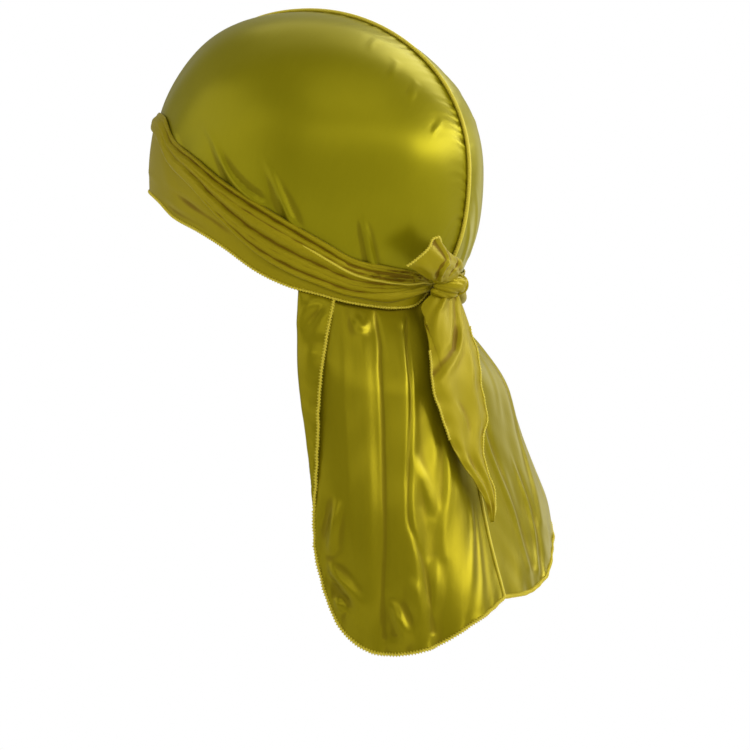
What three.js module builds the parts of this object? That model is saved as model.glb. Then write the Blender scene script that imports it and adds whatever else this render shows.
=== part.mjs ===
import * as THREE from 'three';

// Durag in its worn form. Millimetres, +Z up, face toward -Y, wearer's left toward +X.
// The origin is where the vertex of the head meets the inside of the crown.
// Levels are heights over the widest section of the head; bearings run from the face
// (0) over the left ear (90) to the nape (180).

// Head that the cloth follows
const HEAD_LENGTH = 190;
const HEAD_WIDTH = 156;
const DOME_HEIGHT = 89.5;
const DOME_FULLNESS = 2.13;
const VERTEX_LEAN = 13;
const NAPE_DEPTH = 75;
const NAPE_WIDTH_DRAW = 0.1;
const NAPE_LENGTH_DRAW = 0.22;
const CINCH_SHARE = 0.035;
const CINCH_LEVEL = -0.633 * DOME_HEIGHT;
const CINCH_REACH = 16;
const CINCH_START_BEARING = 105;
const CINCH_FULL_BEARING = 150;

// Cloth
const CLOTH_WALL = 1.2;
const LAYER_CLEARANCE = 0.35;
const PANEL_GAP = 0.5;
const EDGE_GAP = 0.9;
const CLOTH_COLOUR = 0x9c9110;
const CLOTH_ROUGHNESS = 0.4;

// Crown panels and their centre seam
const CROWN_TUCK = 6;
const CROWN_END_BEARING = 2.5;
const CROWN_COLUMNS = 26;
const CROWN_ROWS = 10;
const SEAM_WIDTH = 4.2;
const SEAM_HEIGHT = 1.5;
const SEAM_STOP = 1.5;
const SEAM_CLEARANCE = 0.55;
const SEAM_STEPS = 27;

// Lower flat wrap
const BAND_WALL = 1.3;
const BAND_CLEARANCE = 0.5;
const BAND_HEM_WALL = 1.7;
const BAND_HEM_HEIGHT = 3.5;
const BAND_END_BEARING = 170;
const BAND_STEPS = 54;
const BAND_ROWS = 4;

// Upper pleated wrap
const WRAP_WALL = 1.3;
const PLEAT_HEIGHT = 1.5;
const WRAP_END_BEARING = 176;
const WRAP_LIFT = CLOTH_WALL + BAND_CLEARANCE + BAND_HEM_WALL + LAYER_CLEARANCE;
const GATHER_BEARING = 140;
const GATHER_SHARE = 0.4;
const WRAP_STEPS = 54;

// Knot
const KNOT_WIDTH = 25;
const KNOT_HEIGHT = 17;
const KNOT_DEPTH = 11;
const KNOT_INWARD = 0.4 * KNOT_DEPTH;
const KNOT_LEVEL = -0.639 * DOME_HEIGHT;
const KNOT_BEARING = 175.5;
const KNOT_CLEARANCE = 0.5;
const KNOT_GROOVE = 0.09;
const KNOT_GROOVES = 3;
const KNOT_LAY_SHARE = 1.4;
const KNOT_STEPS = 20;
const KNOT_RINGS = 10;

// Strap ends
const END_WALL = 1.3;
const LONG_END_LENGTH = 121.5;
const LONG_END_START = 3.5;
const LONG_END_FOLD = 2.4;
const LONG_END_FOLDS = 2;
const LONG_END_ROWS = 16;
const LONG_END_COLUMNS = 8;
const SHORT_END_REACH = 24;
const SHORT_END_SPREAD_BEARING = 22;
const SHORT_END_STAND = 1.2;
const SHORT_END_FOLD = 5;
const SHORT_END_ROWS = 7;
const SHORT_END_COLUMNS = 7;

// Neck tail
const TAIL_LENGTH = 199;
const HEM_LEFT_REACH = 74;
const HEM_LEFT_SET = 49.5;
const HEM_BACK_REACH = 126;
const HEM_RIGHT_REACH = 104;
const HEM_RIGHT_SET = 91;
const TAIL_GATHER_LEVEL = -0.678 * DOME_HEIGHT;
const TAIL_RELEASE = 25;
const TAIL_TUCK = 8;
const TAIL_END_BEARING = 113.5;
const TAIL_ROWS = 17;
const TAIL_HOLD = 3.2;
const TAIL_ROW_GROWTH = 1.15;
const HEM_WALL = 2.4;
const HEM_WIDTH = 3.4;
const HEM_STEP = 1.4;
const FOLD_BACK_WIDTH = 22;
const FOLD_BACK_LENGTH = 121;
const FOLD_BACK_LIFT = 4;
const FOLD_BACK_RADIUS = 2.2;
const FOLD_BACK_TAPER = 1.45;
const FOLD_BACK_EASE = 3;
const STRIP_STEP = 1;
const STRIP_CLEARANCE = 4;
const FOLD_COLUMNS = 8;
const FOLD_STEPS = 2;
const FOLD_DEPTH = 7;
const FOLD_TOP_SHARE = 0.6;

// Upper edge of the pleated wrap and lower edge of both wraps, by bearing.
// Levels are shares of DOME_HEIGHT.
const WRAP_EDGES = [
  { bearing: 0, top: 0.41, pleatedBottom: 0.3, bandBottom: -0.06 },
  { bearing: 26, top: 0.4, pleatedBottom: 0.29, bandBottom: -0.08 },
  { bearing: 40, top: 0.38, pleatedBottom: 0.27, bandBottom: -0.115 },
  { bearing: 50, top: 0.34, pleatedBottom: 0.23, bandBottom: -0.17 },
  { bearing: 60, top: 0.205, pleatedBottom: 0.115, bandBottom: -0.265 },
  { bearing: 73, top: 0.08, pleatedBottom: -0.025, bandBottom: -0.355 },
  { bearing: 84, top: -0.05, pleatedBottom: -0.18, bandBottom: -0.455 },
  { bearing: 97, top: -0.19, pleatedBottom: -0.345, bandBottom: -0.6 },
  { bearing: 109, top: -0.315, pleatedBottom: -0.505, bandBottom: -0.69 },
  { bearing: 121, top: -0.43, pleatedBottom: -0.635, bandBottom: -0.74 },
  { bearing: 133, top: -0.53, pleatedBottom: -0.73, bandBottom: -0.785 },
  { bearing: 146, top: -0.57, pleatedBottom: -0.75, bandBottom: -0.81 },
  { bearing: 156, top: -0.59, pleatedBottom: -0.73, bandBottom: -0.815 },
  { bearing: 166, top: -0.615, pleatedBottom: -0.69, bandBottom: -0.79 },
  { bearing: 172, top: -0.63, pleatedBottom: -0.68, bandBottom: -0.7 },
  { bearing: 180, top: -0.64, pleatedBottom: -0.68, bandBottom: -0.69 },
];

// Pleats across the upper wrap: place over its height, height share of PLEAT_HEIGHT
const PLEATS = [
  { place: 0, height: 0.5 },
  { place: 0.07, height: 0.7 },
  { place: 0.16, height: 0 },
  { place: 0.3, height: 1 },
  { place: 0.42, height: 0.1 },
  { place: 0.57, height: 0.9 },
  { place: 0.7, height: 0.05 },
  { place: 0.84, height: 0.8 },
  { place: 0.93, height: 0.75 },
  { place: 1, height: 0.4 },
];

// Plan section of the tail by share of TAIL_LENGTH below the gather. The other columns run
// from 0, the head's own section at the gather, to 1, the reach or set-back named for the hem.
const TAIL_SECTIONS = [
  { fall: -0.05, left: 0, leftSet: 0, back: 0, right: 0, rightSet: 0 },
  { fall: 0.085, left: 0, leftSet: 0, back: 0.14, right: 0.34, rightSet: 0.13 },
  { fall: 0.255, left: 0.25, leftSet: 0.14, back: 0.29, right: 0.7, rightSet: 0.34 },
  { fall: 0.425, left: 0.57, leftSet: 0.5, back: 0.415, right: 0.85, rightSet: 0.565 },
  { fall: 0.595, left: 0.97, leftSet: 0.78, back: 0.565, right: 1, rightSet: 0.84 },
  { fall: 0.7, left: 1.05, leftSet: 0.82, back: 0.675, right: 0.95, rightSet: 0.925 },
  { fall: 0.855, left: 0.9, leftSet: 0.86, back: 0.865, right: 0.79, rightSet: 0.955 },
  { fall: 1, left: 0.65, leftSet: 1, back: 1, right: 0.68, rightSet: 1 },
];

// Bottom hem of each panel from its side edge (0) to the seam (1), shares of TAIL_LENGTH
const LEFT_HEM = [
  { place: 0, fall: 0.7 },
  { place: 0.03, fall: 0.778 },
  { place: 0.07, fall: 0.856 },
  { place: 0.13, fall: 0.928 },
  { place: 0.27, fall: 0.98 },
  { place: 0.5, fall: 0.967 },
  { place: 0.76, fall: 0.895 },
  { place: 1, fall: 0.843 },
];
const RIGHT_HEM = [
  { place: 0, fall: 0.625 },
  { place: 0.25, fall: 0.7 },
  { place: 0.5, fall: 0.772 },
  { place: 0.65, fall: 0.814 },
  { place: 0.82, fall: 0.838 },
  { place: 1, fall: 0.843 },
];

// Lines of the hanging folds: place across the panel (0 edge, 1 seam) at the top and at
// the hem, height as a share of FOLD_DEPTH
const LEFT_FOLDS = [
  { top: 0, hem: 0, height: 0 },
  { top: 0.09, hem: 0.06, height: 0 },
  { top: 0.17, hem: 0.13, height: 0.35 },
  { top: 0.25, hem: 0.19, height: 0 },
  { top: 0.32, hem: 0.26, height: 0.9 },
  { top: 0.42, hem: 0.34, height: 0.05 },
  { top: 0.56, hem: 0.42, height: 0.8 },
  { top: 0.65, hem: 0.48, height: 0.1 },
  { top: 0.72, hem: 0.54, height: 0.7 },
  { top: 0.77, hem: 0.6, height: 0.1 },
  { top: 0.83, hem: 0.68, height: 0.95 },
  { top: 0.88, hem: 0.79, height: 0.15 },
  { top: 0.92, hem: 0.87, height: 0.35 },
  { top: 0.96, hem: 0.95, height: 0 },
  { top: 1, hem: 1, height: 0 },
];
const RIGHT_FOLDS = [
  { top: 0, hem: 0, height: 0 },
  { top: 0.1, hem: 0.08, height: 0.1 },
  { top: 0.22, hem: 0.2, height: 0.45 },
  { top: 0.36, hem: 0.36, height: 0 },
  { top: 0.52, hem: 0.54, height: 0.6 },
  { top: 0.66, hem: 0.7, height: 0.05 },
  { top: 0.8, hem: 0.82, height: 0.4 },
  { top: 0.93, hem: 0.94, height: 0 },
  { top: 1, hem: 1, height: 0 },
];

// Long strap end: side edges as places across the tail, by share of LONG_END_LENGTH
const LONG_END = [
  { run: 0, left: 0.94, right: 1.03 },
  { run: 0.07, left: 0.85, right: 1.1 },
  { run: 0.2, left: 0.79, right: 1.11 },
  { run: 0.31, left: 0.74, right: 1.09 },
  { run: 0.41, left: 0.71, right: 1.04 },
  { run: 0.54, left: 0.74, right: 1.05 },
  { run: 0.65, left: 0.77, right: 0.99 },
  { run: 0.75, left: 0.82, right: 0.98 },
  { run: 0.84, left: 0.89, right: 1.01 },
  { run: 0.925, left: 0.935, right: 1 },
  { run: 1, left: 0.935, right: 0.95 },
];

// Short strap end: both sides run from the knot (0) to the free edge (1). Aside is a share
// of SHORT_END_SPREAD_BEARING from the knot's bearing, rise of SHORT_END_REACH over the knot's top.
const SHORT_END = [
  { run: 0, lowAside: 0.455, lowRise: -0.115, highAside: 0.045, highRise: 0.073 },
  { run: 0.35, lowAside: 0.66, lowRise: -0.096, highAside: 0.136, highRise: 0.242 },
  { run: 0.7, lowAside: 0.84, lowRise: -0.058, highAside: 0.364, highRise: 0.39 },
  { run: 1, lowAside: 1, lowRise: 0.017, highAside: 0.682, highRise: 0.654 },
];

// Half-round ridge section of the seams: place across, height
const RIDGE = [
  { across: -0.5, height: 0.12 },
  { across: -0.36, height: 0.75 },
  { across: 0, height: 1 },
  { across: 0.36, height: 0.75 },
  { across: 0.5, height: 0.12 },
];

const RAD = Math.PI / 180;
const SEAM_SHARE = 1;
const RIGHT_SHARE = 2;
const SLOPE_STEP = 1e-3;
const STEEP = 0.8;

// Value of a table at a key, on a smooth curve through its rows
function readTable(table, keyName, valueName, key) {
  const order = table[0][keyName] < table[table.length - 1][keyName] ? 1 : -1;
  const last = table.length - 1;
  let i = 0;
  while (i < last - 1 && order * (key - table[i + 1][keyName]) > 0) i += 1;
  const k = (n) => table[n][keyName];
  const v = (n) => table[n][valueName];
  const t = THREE.MathUtils.clamp((key - k(i)) / (k(i + 1) - k(i)), 0, 1);
  const slope = (n) => {
    const a = Math.max(n - 1, 0);
    const b = Math.min(n + 1, last);
    return (v(b) - v(a)) / (k(b) - k(a));
  };
  const span = k(i + 1) - k(i);
  const h00 = (1 + 2 * t) * (1 - t) * (1 - t);
  const h10 = t * (1 - t) * (1 - t);
  const h01 = t * t * (3 - 2 * t);
  const h11 = t * t * (t - 1);
  return h00 * v(i) + h10 * span * slope(i) + h01 * v(i + 1) + h11 * span * slope(i + 1);
}

function headPoint(bearing, level) {
  const rise = THREE.MathUtils.clamp(level / DOME_HEIGHT, 0, 1);
  const ring = Math.pow(Math.max(1 - Math.pow(rise, DOME_FULLNESS), 0), 1 / DOME_FULLNESS);
  const low = Math.pow(Math.min(level, 0) / NAPE_DEPTH, 2);
  const behind = THREE.MathUtils.smoothstep(Math.abs(bearing), CINCH_START_BEARING, CINCH_FULL_BEARING);
  const near = Math.exp(-Math.pow((level - CINCH_LEVEL) / CINCH_REACH, 2));
  const size = ring * (1 - CINCH_SHARE * behind * near);
  const x = HEAD_WIDTH / 2 * size * (1 - NAPE_WIDTH_DRAW * low) * Math.sin(bearing * RAD);
  const y = -HEAD_LENGTH / 2 * size * (1 - NAPE_LENGTH_DRAW * low) * Math.cos(bearing * RAD);
  return new THREE.Vector3(x, y + VERTEX_LEAN * (1 - rise * rise), level - DOME_HEIGHT);
}

// Bearing and level that a direction from the middle of the head points to
function headPlace(direction) {
  const flat = Math.hypot(direction.x, direction.y);
  const bearing = Math.atan2(direction.x, -direction.y) / RAD;
  if (direction.z <= 0) return [bearing, DOME_HEIGHT * direction.z / flat];
  const share = Math.pow(1 + Math.pow(flat / direction.z, DOME_FULLNESS), -1 / DOME_FULLNESS);
  return [bearing, DOME_HEIGHT * share];
}

function headDirection(bearing, level) {
  const share = level / DOME_HEIGHT;
  const steep = share <= 0
    ? share
    : 1 / Math.pow(Math.pow(share, -DOME_FULLNESS) - 1, 1 / DOME_FULLNESS);
  return new THREE.Vector3(Math.sin(bearing * RAD), -Math.cos(bearing * RAD), steep).normalize();
}

// Point over the head form, lifted along its normal
function overHead(direction, lift) {
  const side = new THREE.Vector3(0, 0, 1);
  if (Math.abs(direction.z) > STEEP) side.set(1, 0, 0);
  const first = new THREE.Vector3().crossVectors(side, direction).normalize();
  const second = new THREE.Vector3().crossVectors(direction, first);
  const at = (step, along) => headPoint(...headPlace(
    direction.clone().addScaledVector(along, step).normalize(),
  ));
  const across = at(SLOPE_STEP, first).sub(at(-SLOPE_STEP, first));
  const down = at(SLOPE_STEP, second).sub(at(-SLOPE_STEP, second));
  const normal = across.cross(down).normalize();
  return headPoint(...headPlace(direction)).addScaledVector(normal, lift);
}

// Closed solid between two faces given on the same grid
function sheetSolid(columns, rows, outer, inner) {
  const points = [];
  const index = [];
  const at = (face, i, j) => (face * (columns + 1) + i) * (rows + 1) + j;
  for (const face of [outer, inner]) {
    for (let i = 0; i <= columns; i += 1) {
      for (let j = 0; j <= rows; j += 1) points.push(face(i, j));
    }
  }
  const quad = (a, b, c, d) => index.push(a, b, c, a, c, d);
  for (let i = 0; i < columns; i += 1) {
    for (let j = 0; j < rows; j += 1) {
      quad(at(0, i, j), at(0, i + 1, j), at(0, i + 1, j + 1), at(0, i, j + 1));
      quad(at(1, i, j + 1), at(1, i + 1, j + 1), at(1, i + 1, j), at(1, i, j));
    }
    quad(at(1, i, 0), at(1, i + 1, 0), at(0, i + 1, 0), at(0, i, 0));
    quad(at(0, i, rows), at(0, i + 1, rows), at(1, i + 1, rows), at(1, i, rows));
  }
  for (let j = 0; j < rows; j += 1) {
    quad(at(0, 0, j), at(0, 0, j + 1), at(1, 0, j + 1), at(1, 0, j));
    quad(at(1, columns, j), at(1, columns, j + 1), at(0, columns, j + 1), at(0, columns, j));
  }
  return facingOut(points, index);
}

function facingOut(points, index) {
  let volume = 0;
  for (let i = 0; i < index.length; i += 3) {
    const [a, b, c] = [points[index[i]], points[index[i + 1]], points[index[i + 2]]];
    volume += a.dot(new THREE.Vector3().crossVectors(b, c));
  }
  const geometry = new THREE.BufferGeometry().setFromPoints(points);
  geometry.setIndex(volume < 0 ? index.slice().reverse() : index);
  geometry.computeVertexNormals();
  return geometry;
}

// Sheet of a given wall laid on both sides of a surface given by two running sizes
function hangingSheet(columns, rows, place, surface, wall) {
  const face = (side) => (i, j) => {
    const [a, b] = place(i, j);
    const along = surface(a + SLOPE_STEP, b).sub(surface(a - SLOPE_STEP, b));
    const down = surface(a, b + SLOPE_STEP).sub(surface(a, b - SLOPE_STEP));
    const normal = along.cross(down).normalize();
    return surface(a, b).addScaledVector(normal, side * wall(i, j) / 2);
  };
  return sheetSolid(columns, rows, face(1), face(-1));
}

// Levels of the wrap edges
const wrapEdge = (name, bearing) => (
  DOME_HEIGHT * readTable(WRAP_EDGES, 'bearing', name, Math.abs(bearing))
);
const bandTop = (bearing) => (wrapEdge('top', bearing) + wrapEdge('pleatedBottom', bearing)) / 2;
const crownEdge = (bearing) => Math.max(
  wrapEdge('top', bearing) - CROWN_TUCK,
  (wrapEdge('top', bearing) + wrapEdge('pleatedBottom', bearing)) / 2 + PANEL_GAP,
);

// Crown panel between the centre seam and the wraps
function crownPanel(side) {
  const share = PANEL_GAP / HEAD_WIDTH;
  const front = headDirection(0, crownEdge(0));
  const back = headDirection(180, crownEdge(180));
  const frontAngle = Math.atan2(front.z, -front.y);
  const backAngle = Math.atan2(back.z, -back.y);
  const backTurn = backAngle < 0 ? backAngle + 2 * Math.PI : backAngle;
  const place = (i, j) => {
    const u = i / CROWN_COLUMNS;
    const v = j / CROWN_ROWS;
    const angle = THREE.MathUtils.lerp(frontAngle, backTurn, u);
    const seam = new THREE.Vector3(share, -Math.cos(angle), Math.sin(angle)).normalize();
    const bearing = THREE.MathUtils.lerp(CROWN_END_BEARING, 180 - CROWN_END_BEARING, u);
    const edge = headDirection(bearing, crownEdge(bearing));
    const arc = seam.angleTo(edge);
    const a = Math.sin((1 - v) * arc) / Math.sin(arc);
    const b = Math.sin(v * arc) / Math.sin(arc);
    const mixed = seam.multiplyScalar(a).addScaledVector(edge, b).normalize();
    mixed.x *= side;
    return mixed;
  };
  return sheetSolid(
    CROWN_COLUMNS,
    CROWN_ROWS,
    (i, j) => overHead(place(i, j), CLOTH_WALL),
    (i, j) => overHead(place(i, j), 0),
  );
}

function crownSeam() {
  const front = headDirection(0, wrapEdge('top', 0) + SEAM_STOP);
  const knotTop = KNOT_LEVEL + KNOT_HEIGHT / 2 + SEAM_STOP;
  const back = headDirection(180, knotTop);
  const frontAngle = Math.atan2(front.z, -front.y);
  const backAngle = Math.atan2(back.z, -back.y);
  const backTurn = backAngle < 0 ? backAngle + 2 * Math.PI : backAngle;
  const base = CLOTH_WALL + SEAM_CLEARANCE;
  const point = (i, j, raised) => {
    const angle = THREE.MathUtils.lerp(frontAngle, backTurn, i / SEAM_STEPS);
    const across = RIDGE[j].across * SEAM_WIDTH;
    const direction = new THREE.Vector3(0, -Math.cos(angle), Math.sin(angle));
    direction.x = across / (HEAD_WIDTH / 2);
    return overHead(direction.normalize(), base + raised);
  };
  return sheetSolid(
    SEAM_STEPS,
    RIDGE.length - 1,
    (i, j) => point(i, j, RIDGE[j].height * SEAM_HEIGHT),
    (i, j) => point(i, j, 0),
  );
}

// Lower flat wrap, once round the head and open at the knot
function browBand() {
  const inner = CLOTH_WALL + BAND_CLEARANCE;
  const point = (i, j, outside) => {
    const bearing = THREE.MathUtils.lerp(-BAND_END_BEARING, BAND_END_BEARING, i / BAND_STEPS);
    const bottom = wrapEdge('bandBottom', bearing);
    const top = bandTop(bearing) - LAYER_CLEARANCE;
    const hem = Math.min(BAND_HEM_HEIGHT, (top - bottom) / BAND_ROWS);
    const levels = [bottom, bottom + hem, bottom + hem * HEM_STEP, (bottom + top) / 2, top];
    const wall = j < 2 ? BAND_HEM_WALL : BAND_WALL;
    return overHead(headDirection(bearing, levels[j]), inner + outside * wall);
  };
  return sheetSolid(BAND_STEPS, BAND_ROWS, (i, j) => point(i, j, 1), (i, j) => point(i, j, 0));
}

// Upper pleated wrap over it
function upperWrap() {
  const point = (i, j, outside) => {
    const bearing = THREE.MathUtils.lerp(-WRAP_END_BEARING, WRAP_END_BEARING, i / WRAP_STEPS);
    const pleat = PLEATS[j];
    const bottom = wrapEdge('pleatedBottom', bearing);
    const level = THREE.MathUtils.lerp(bottom, wrapEdge('top', bearing), pleat.place);
    const near = THREE.MathUtils.smoothstep(Math.abs(bearing), GATHER_BEARING, WRAP_END_BEARING);
    const rise = PLEAT_HEIGHT * THREE.MathUtils.lerp(1, GATHER_SHARE, near);
    const wall = WRAP_WALL + rise * pleat.height;
    return overHead(headDirection(bearing, level), WRAP_LIFT + outside * wall);
  };
  return sheetSolid(
    WRAP_STEPS,
    PLEATS.length - 1,
    (i, j) => point(i, j, 1),
    (i, j) => point(i, j, 0),
  );
}

const fallen = (level) => (TAIL_GATHER_LEVEL - level) / TAIL_LENGTH;

const tailBearing = (place) => THREE.MathUtils.lerp(TAIL_END_BEARING, 180, place);

// Plan section of the tail: place 0 at the left edge, then SEAM_SHARE and RIGHT_SHARE
function tailBase(place, level) {
  const read = (name) => readTable(TAIL_SECTIONS, 'fall', name, fallen(level));
  const side = headPoint(TAIL_END_BEARING, TAIL_GATHER_LEVEL);
  const nape = headPoint(180, TAIL_GATHER_LEVEL);
  const left = place <= SEAM_SHARE;
  const reach = left ? HEM_LEFT_REACH : HEM_RIGHT_REACH;
  const width = THREE.MathUtils.lerp(side.x, reach, read(left ? 'left' : 'right'));
  const hemSet = VERTEX_LEAN + (left ? HEM_LEFT_SET : HEM_RIGHT_SET);
  const set = THREE.MathUtils.lerp(side.y, hemSet, read(left ? 'leftSet' : 'rightSet'));
  const back = THREE.MathUtils.lerp(nape.y, VERTEX_LEAN + HEM_BACK_REACH, read('back'));
  const angle = (left ? place : RIGHT_SHARE - place) * Math.PI / 2;
  return new THREE.Vector3(
    (left ? 1 : -1) * width * Math.cos(angle),
    set + (back - set) * Math.sin(angle),
    level - DOME_HEIGHT,
  );
}

const heldLevel = (place) => (
  wrapEdge('bandBottom', tailBearing(Math.min(place, RIGHT_SHARE - place))) - TAIL_HOLD
);

// The tail is held against the head down to the wraps and hangs free below them
function tailFreed(place, level, release) {
  return THREE.MathUtils.smoothstep(heldLevel(place) - level, 0, release);
}

function tailSurface(place, level) {
  const gathered = overHead(headDirection(tailBearing(place), level), CLOTH_WALL / 2);
  return gathered.lerp(tailBase(place, level), tailFreed(place, level, TAIL_RELEASE));
}

const foldPlace = (fold, level) => THREE.MathUtils.lerp(fold.top, fold.hem, fallen(level));

function foldLift(folds, place, level) {
  const lines = folds.map((fold) => ({ place: foldPlace(fold, level), height: fold.height }));
  const height = Math.max(readTable(lines, 'place', 'height', place), 0);
  const grown = THREE.MathUtils.lerp(FOLD_TOP_SHARE, 1, fallen(level));
  return FOLD_DEPTH * height * grown * tailFreed(place, level, 2 * TAIL_RELEASE);
}

function lifted(place, level, lift) {
  const point = tailSurface(place, level);
  const along = tailSurface(place + SLOPE_STEP, level).sub(tailSurface(place - SLOPE_STEP, level));
  const out = new THREE.Vector3(along.y, -along.x, 0).normalize();
  return point.addScaledVector(out, lift);
}

// Width of a panel from its side edge to the seam
function panelWidth(edgePlace, level) {
  const edge = tailBase(edgePlace, level);
  const seam = tailBase(SEAM_SHARE, level);
  return Math.PI / 2 * Math.hypot(edge.x, seam.y - edge.y) / Math.SQRT2;
}

const tailTop = (place) => (
  Math.min(crownEdge(tailBearing(place)) - EDGE_GAP, TAIL_GATHER_LEVEL + TAIL_TUCK)
);

// Turned-back strip along the left side edge
function foldBack(level) {
  const share = (TAIL_GATHER_LEVEL - level) / FOLD_BACK_LENGTH;
  const down = Math.pow(THREE.MathUtils.clamp(share, 0, 1), FOLD_BACK_TAPER);
  const width = FOLD_BACK_WIDTH * (1 - down);
  const soft = Math.min(1, width / (FOLD_BACK_EASE * FOLD_BACK_LIFT));
  return { width, soft, radius: FOLD_BACK_RADIUS * soft + SLOPE_STEP };
}

function leftPlace(run, level) {
  const { width, radius } = foldBack(level);
  return (Math.hypot(run - width, radius) - radius) / panelWidth(0, level);
}

// Left panel by running width from its hemmed edge
function leftSurface(run, level) {
  const { width, soft, radius } = foldBack(level);
  const place = leftPlace(run, level);
  const turned = 0.5 - 0.5 * (run - width) / Math.hypot(run - width, radius);
  const folds = foldLift(LEFT_FOLDS, place, level);
  return lifted(place, level, turned * FOLD_BACK_LIFT * soft + (1 - turned) * folds);
}

// Mesh columns about the fold of the turned-back strip, in steps of STRIP_STEP
const STRIP_COLUMNS = [-3, -1, 1, 3, 7];

function leftRun(i, level) {
  const { width, radius } = foldBack(level);
  const hemEnd = HEM_WIDTH * HEM_STEP;
  if (i < 3) return [0, HEM_WIDTH, hemEnd][i];
  const turn = Math.max(width, hemEnd + STRIP_CLEARANCE);
  const strip = (n) => turn + STRIP_COLUMNS[n] * STRIP_STEP;
  if (i === 3) return (hemEnd + strip(0)) / 2;
  if (i <= FOLD_COLUMNS) return strip(i - 4);
  const joint = PANEL_GAP / 2 / panelWidth(0, level);
  const place = Math.min(columnPlace(LEFT_FOLDS, i - FOLD_COLUMNS + FOLD_STEPS, level), 1 - joint);
  const reach = place * panelWidth(0, level) + radius;
  return width + Math.sqrt(reach * reach - radius * radius);
}

// Place of a mesh column that follows the fold lines
function columnPlace(folds, step, level) {
  const line = Math.min(Math.floor(step / FOLD_STEPS), folds.length - 2);
  const share = step / FOLD_STEPS - line;
  return THREE.MathUtils.lerp(foldPlace(folds[line], level), foldPlace(folds[line + 1], level), share);
}

// Levels of one column: one row where it comes free, the two lowest inside the hem
function rowLevel(j, place, top, bottom) {
  const free = Math.min(heldLevel(place), top - TAIL_HOLD);
  if (j === 0) return top;
  if (j === TAIL_ROWS) return bottom;
  if (j === TAIL_ROWS - 1) return bottom + HEM_WIDTH;
  const share = Math.pow((j - 1) / (TAIL_ROWS - 3), TAIL_ROW_GROWTH);
  return THREE.MathUtils.lerp(free, bottom + HEM_WIDTH * HEM_STEP, share);
}

const hemLevel = (table, place) => (
  TAIL_GATHER_LEVEL - TAIL_LENGTH * readTable(table, 'place', 'fall', place)
);

const LOWEST = TAIL_GATHER_LEVEL - TAIL_LENGTH;

const hemWall = (i, j) => ((i < 2 && j > 1) || j > TAIL_ROWS - 2 ? HEM_WALL : CLOTH_WALL);

function tailLeft() {
  const columns = FOLD_COLUMNS + FOLD_STEPS * (LEFT_FOLDS.length - 2);
  const place = (i, j) => {
    const bottom = hemLevel(LEFT_HEM, leftRun(i, LOWEST) / panelWidth(0, LOWEST));
    const highPlace = leftPlace(leftRun(i, TAIL_GATHER_LEVEL), TAIL_GATHER_LEVEL);
    const bandEdge = wrapEdge('bandBottom', tailBearing(highPlace));
    const underBand = bandEdge - TAIL_HOLD;
    const top = i <= FOLD_COLUMNS ? underBand : tailTop(highPlace);
    const level = rowLevel(j, highPlace, top, bottom);
    return [leftRun(i, level), level];
  };
  return hangingSheet(columns, TAIL_ROWS, place, leftSurface, hemWall);
}

function tailRight() {
  const columns = 2 + FOLD_STEPS * (RIGHT_FOLDS.length - 1);
  const surface = (place, level) => (
    lifted(RIGHT_SHARE - place, level, foldLift(RIGHT_FOLDS, place, level))
  );
  const width = panelWidth(RIGHT_SHARE, LOWEST);
  const hem = HEM_WIDTH / width;
  const end = 1 - PANEL_GAP / 2 / width;
  const place = (i, j) => {
    const across = (level) => {
      if (i < 3) return [0, hem, hem * HEM_STEP][i];
      return Math.min(columnPlace(RIGHT_FOLDS, i - 2, level), end);
    };
    const bottom = hemLevel(RIGHT_HEM, across(LOWEST));
    const highPlace = across(TAIL_GATHER_LEVEL);
    const level = rowLevel(j, highPlace, tailTop(highPlace), bottom);
    return [across(level), level];
  };
  return hangingSheet(columns, TAIL_ROWS, place, surface, hemWall);
}

// Ridge along the joint of both tail panels
function tailSeam() {
  const bottom = hemLevel(LEFT_HEM, SEAM_SHARE);
  const base = CLOTH_WALL / 2 + SEAM_CLEARANCE;
  const steps = TAIL_ROWS - 3;
  const point = (i, j, raised) => {
    const stop = i === steps ? SEAM_STOP : 0;
    const level = rowLevel(i + 1, SEAM_SHARE, tailTop(SEAM_SHARE), bottom) + stop;
    const across = RIDGE[j].across * SEAM_WIDTH / panelWidth(0, level);
    return lifted(SEAM_SHARE + across, level, base + raised);
  };
  return sheetSolid(
    steps,
    RIDGE.length - 1,
    (i, j) => point(i, j, RIDGE[j].height * SEAM_HEIGHT),
    (i, j) => point(i, j, 0),
  );
}

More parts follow.
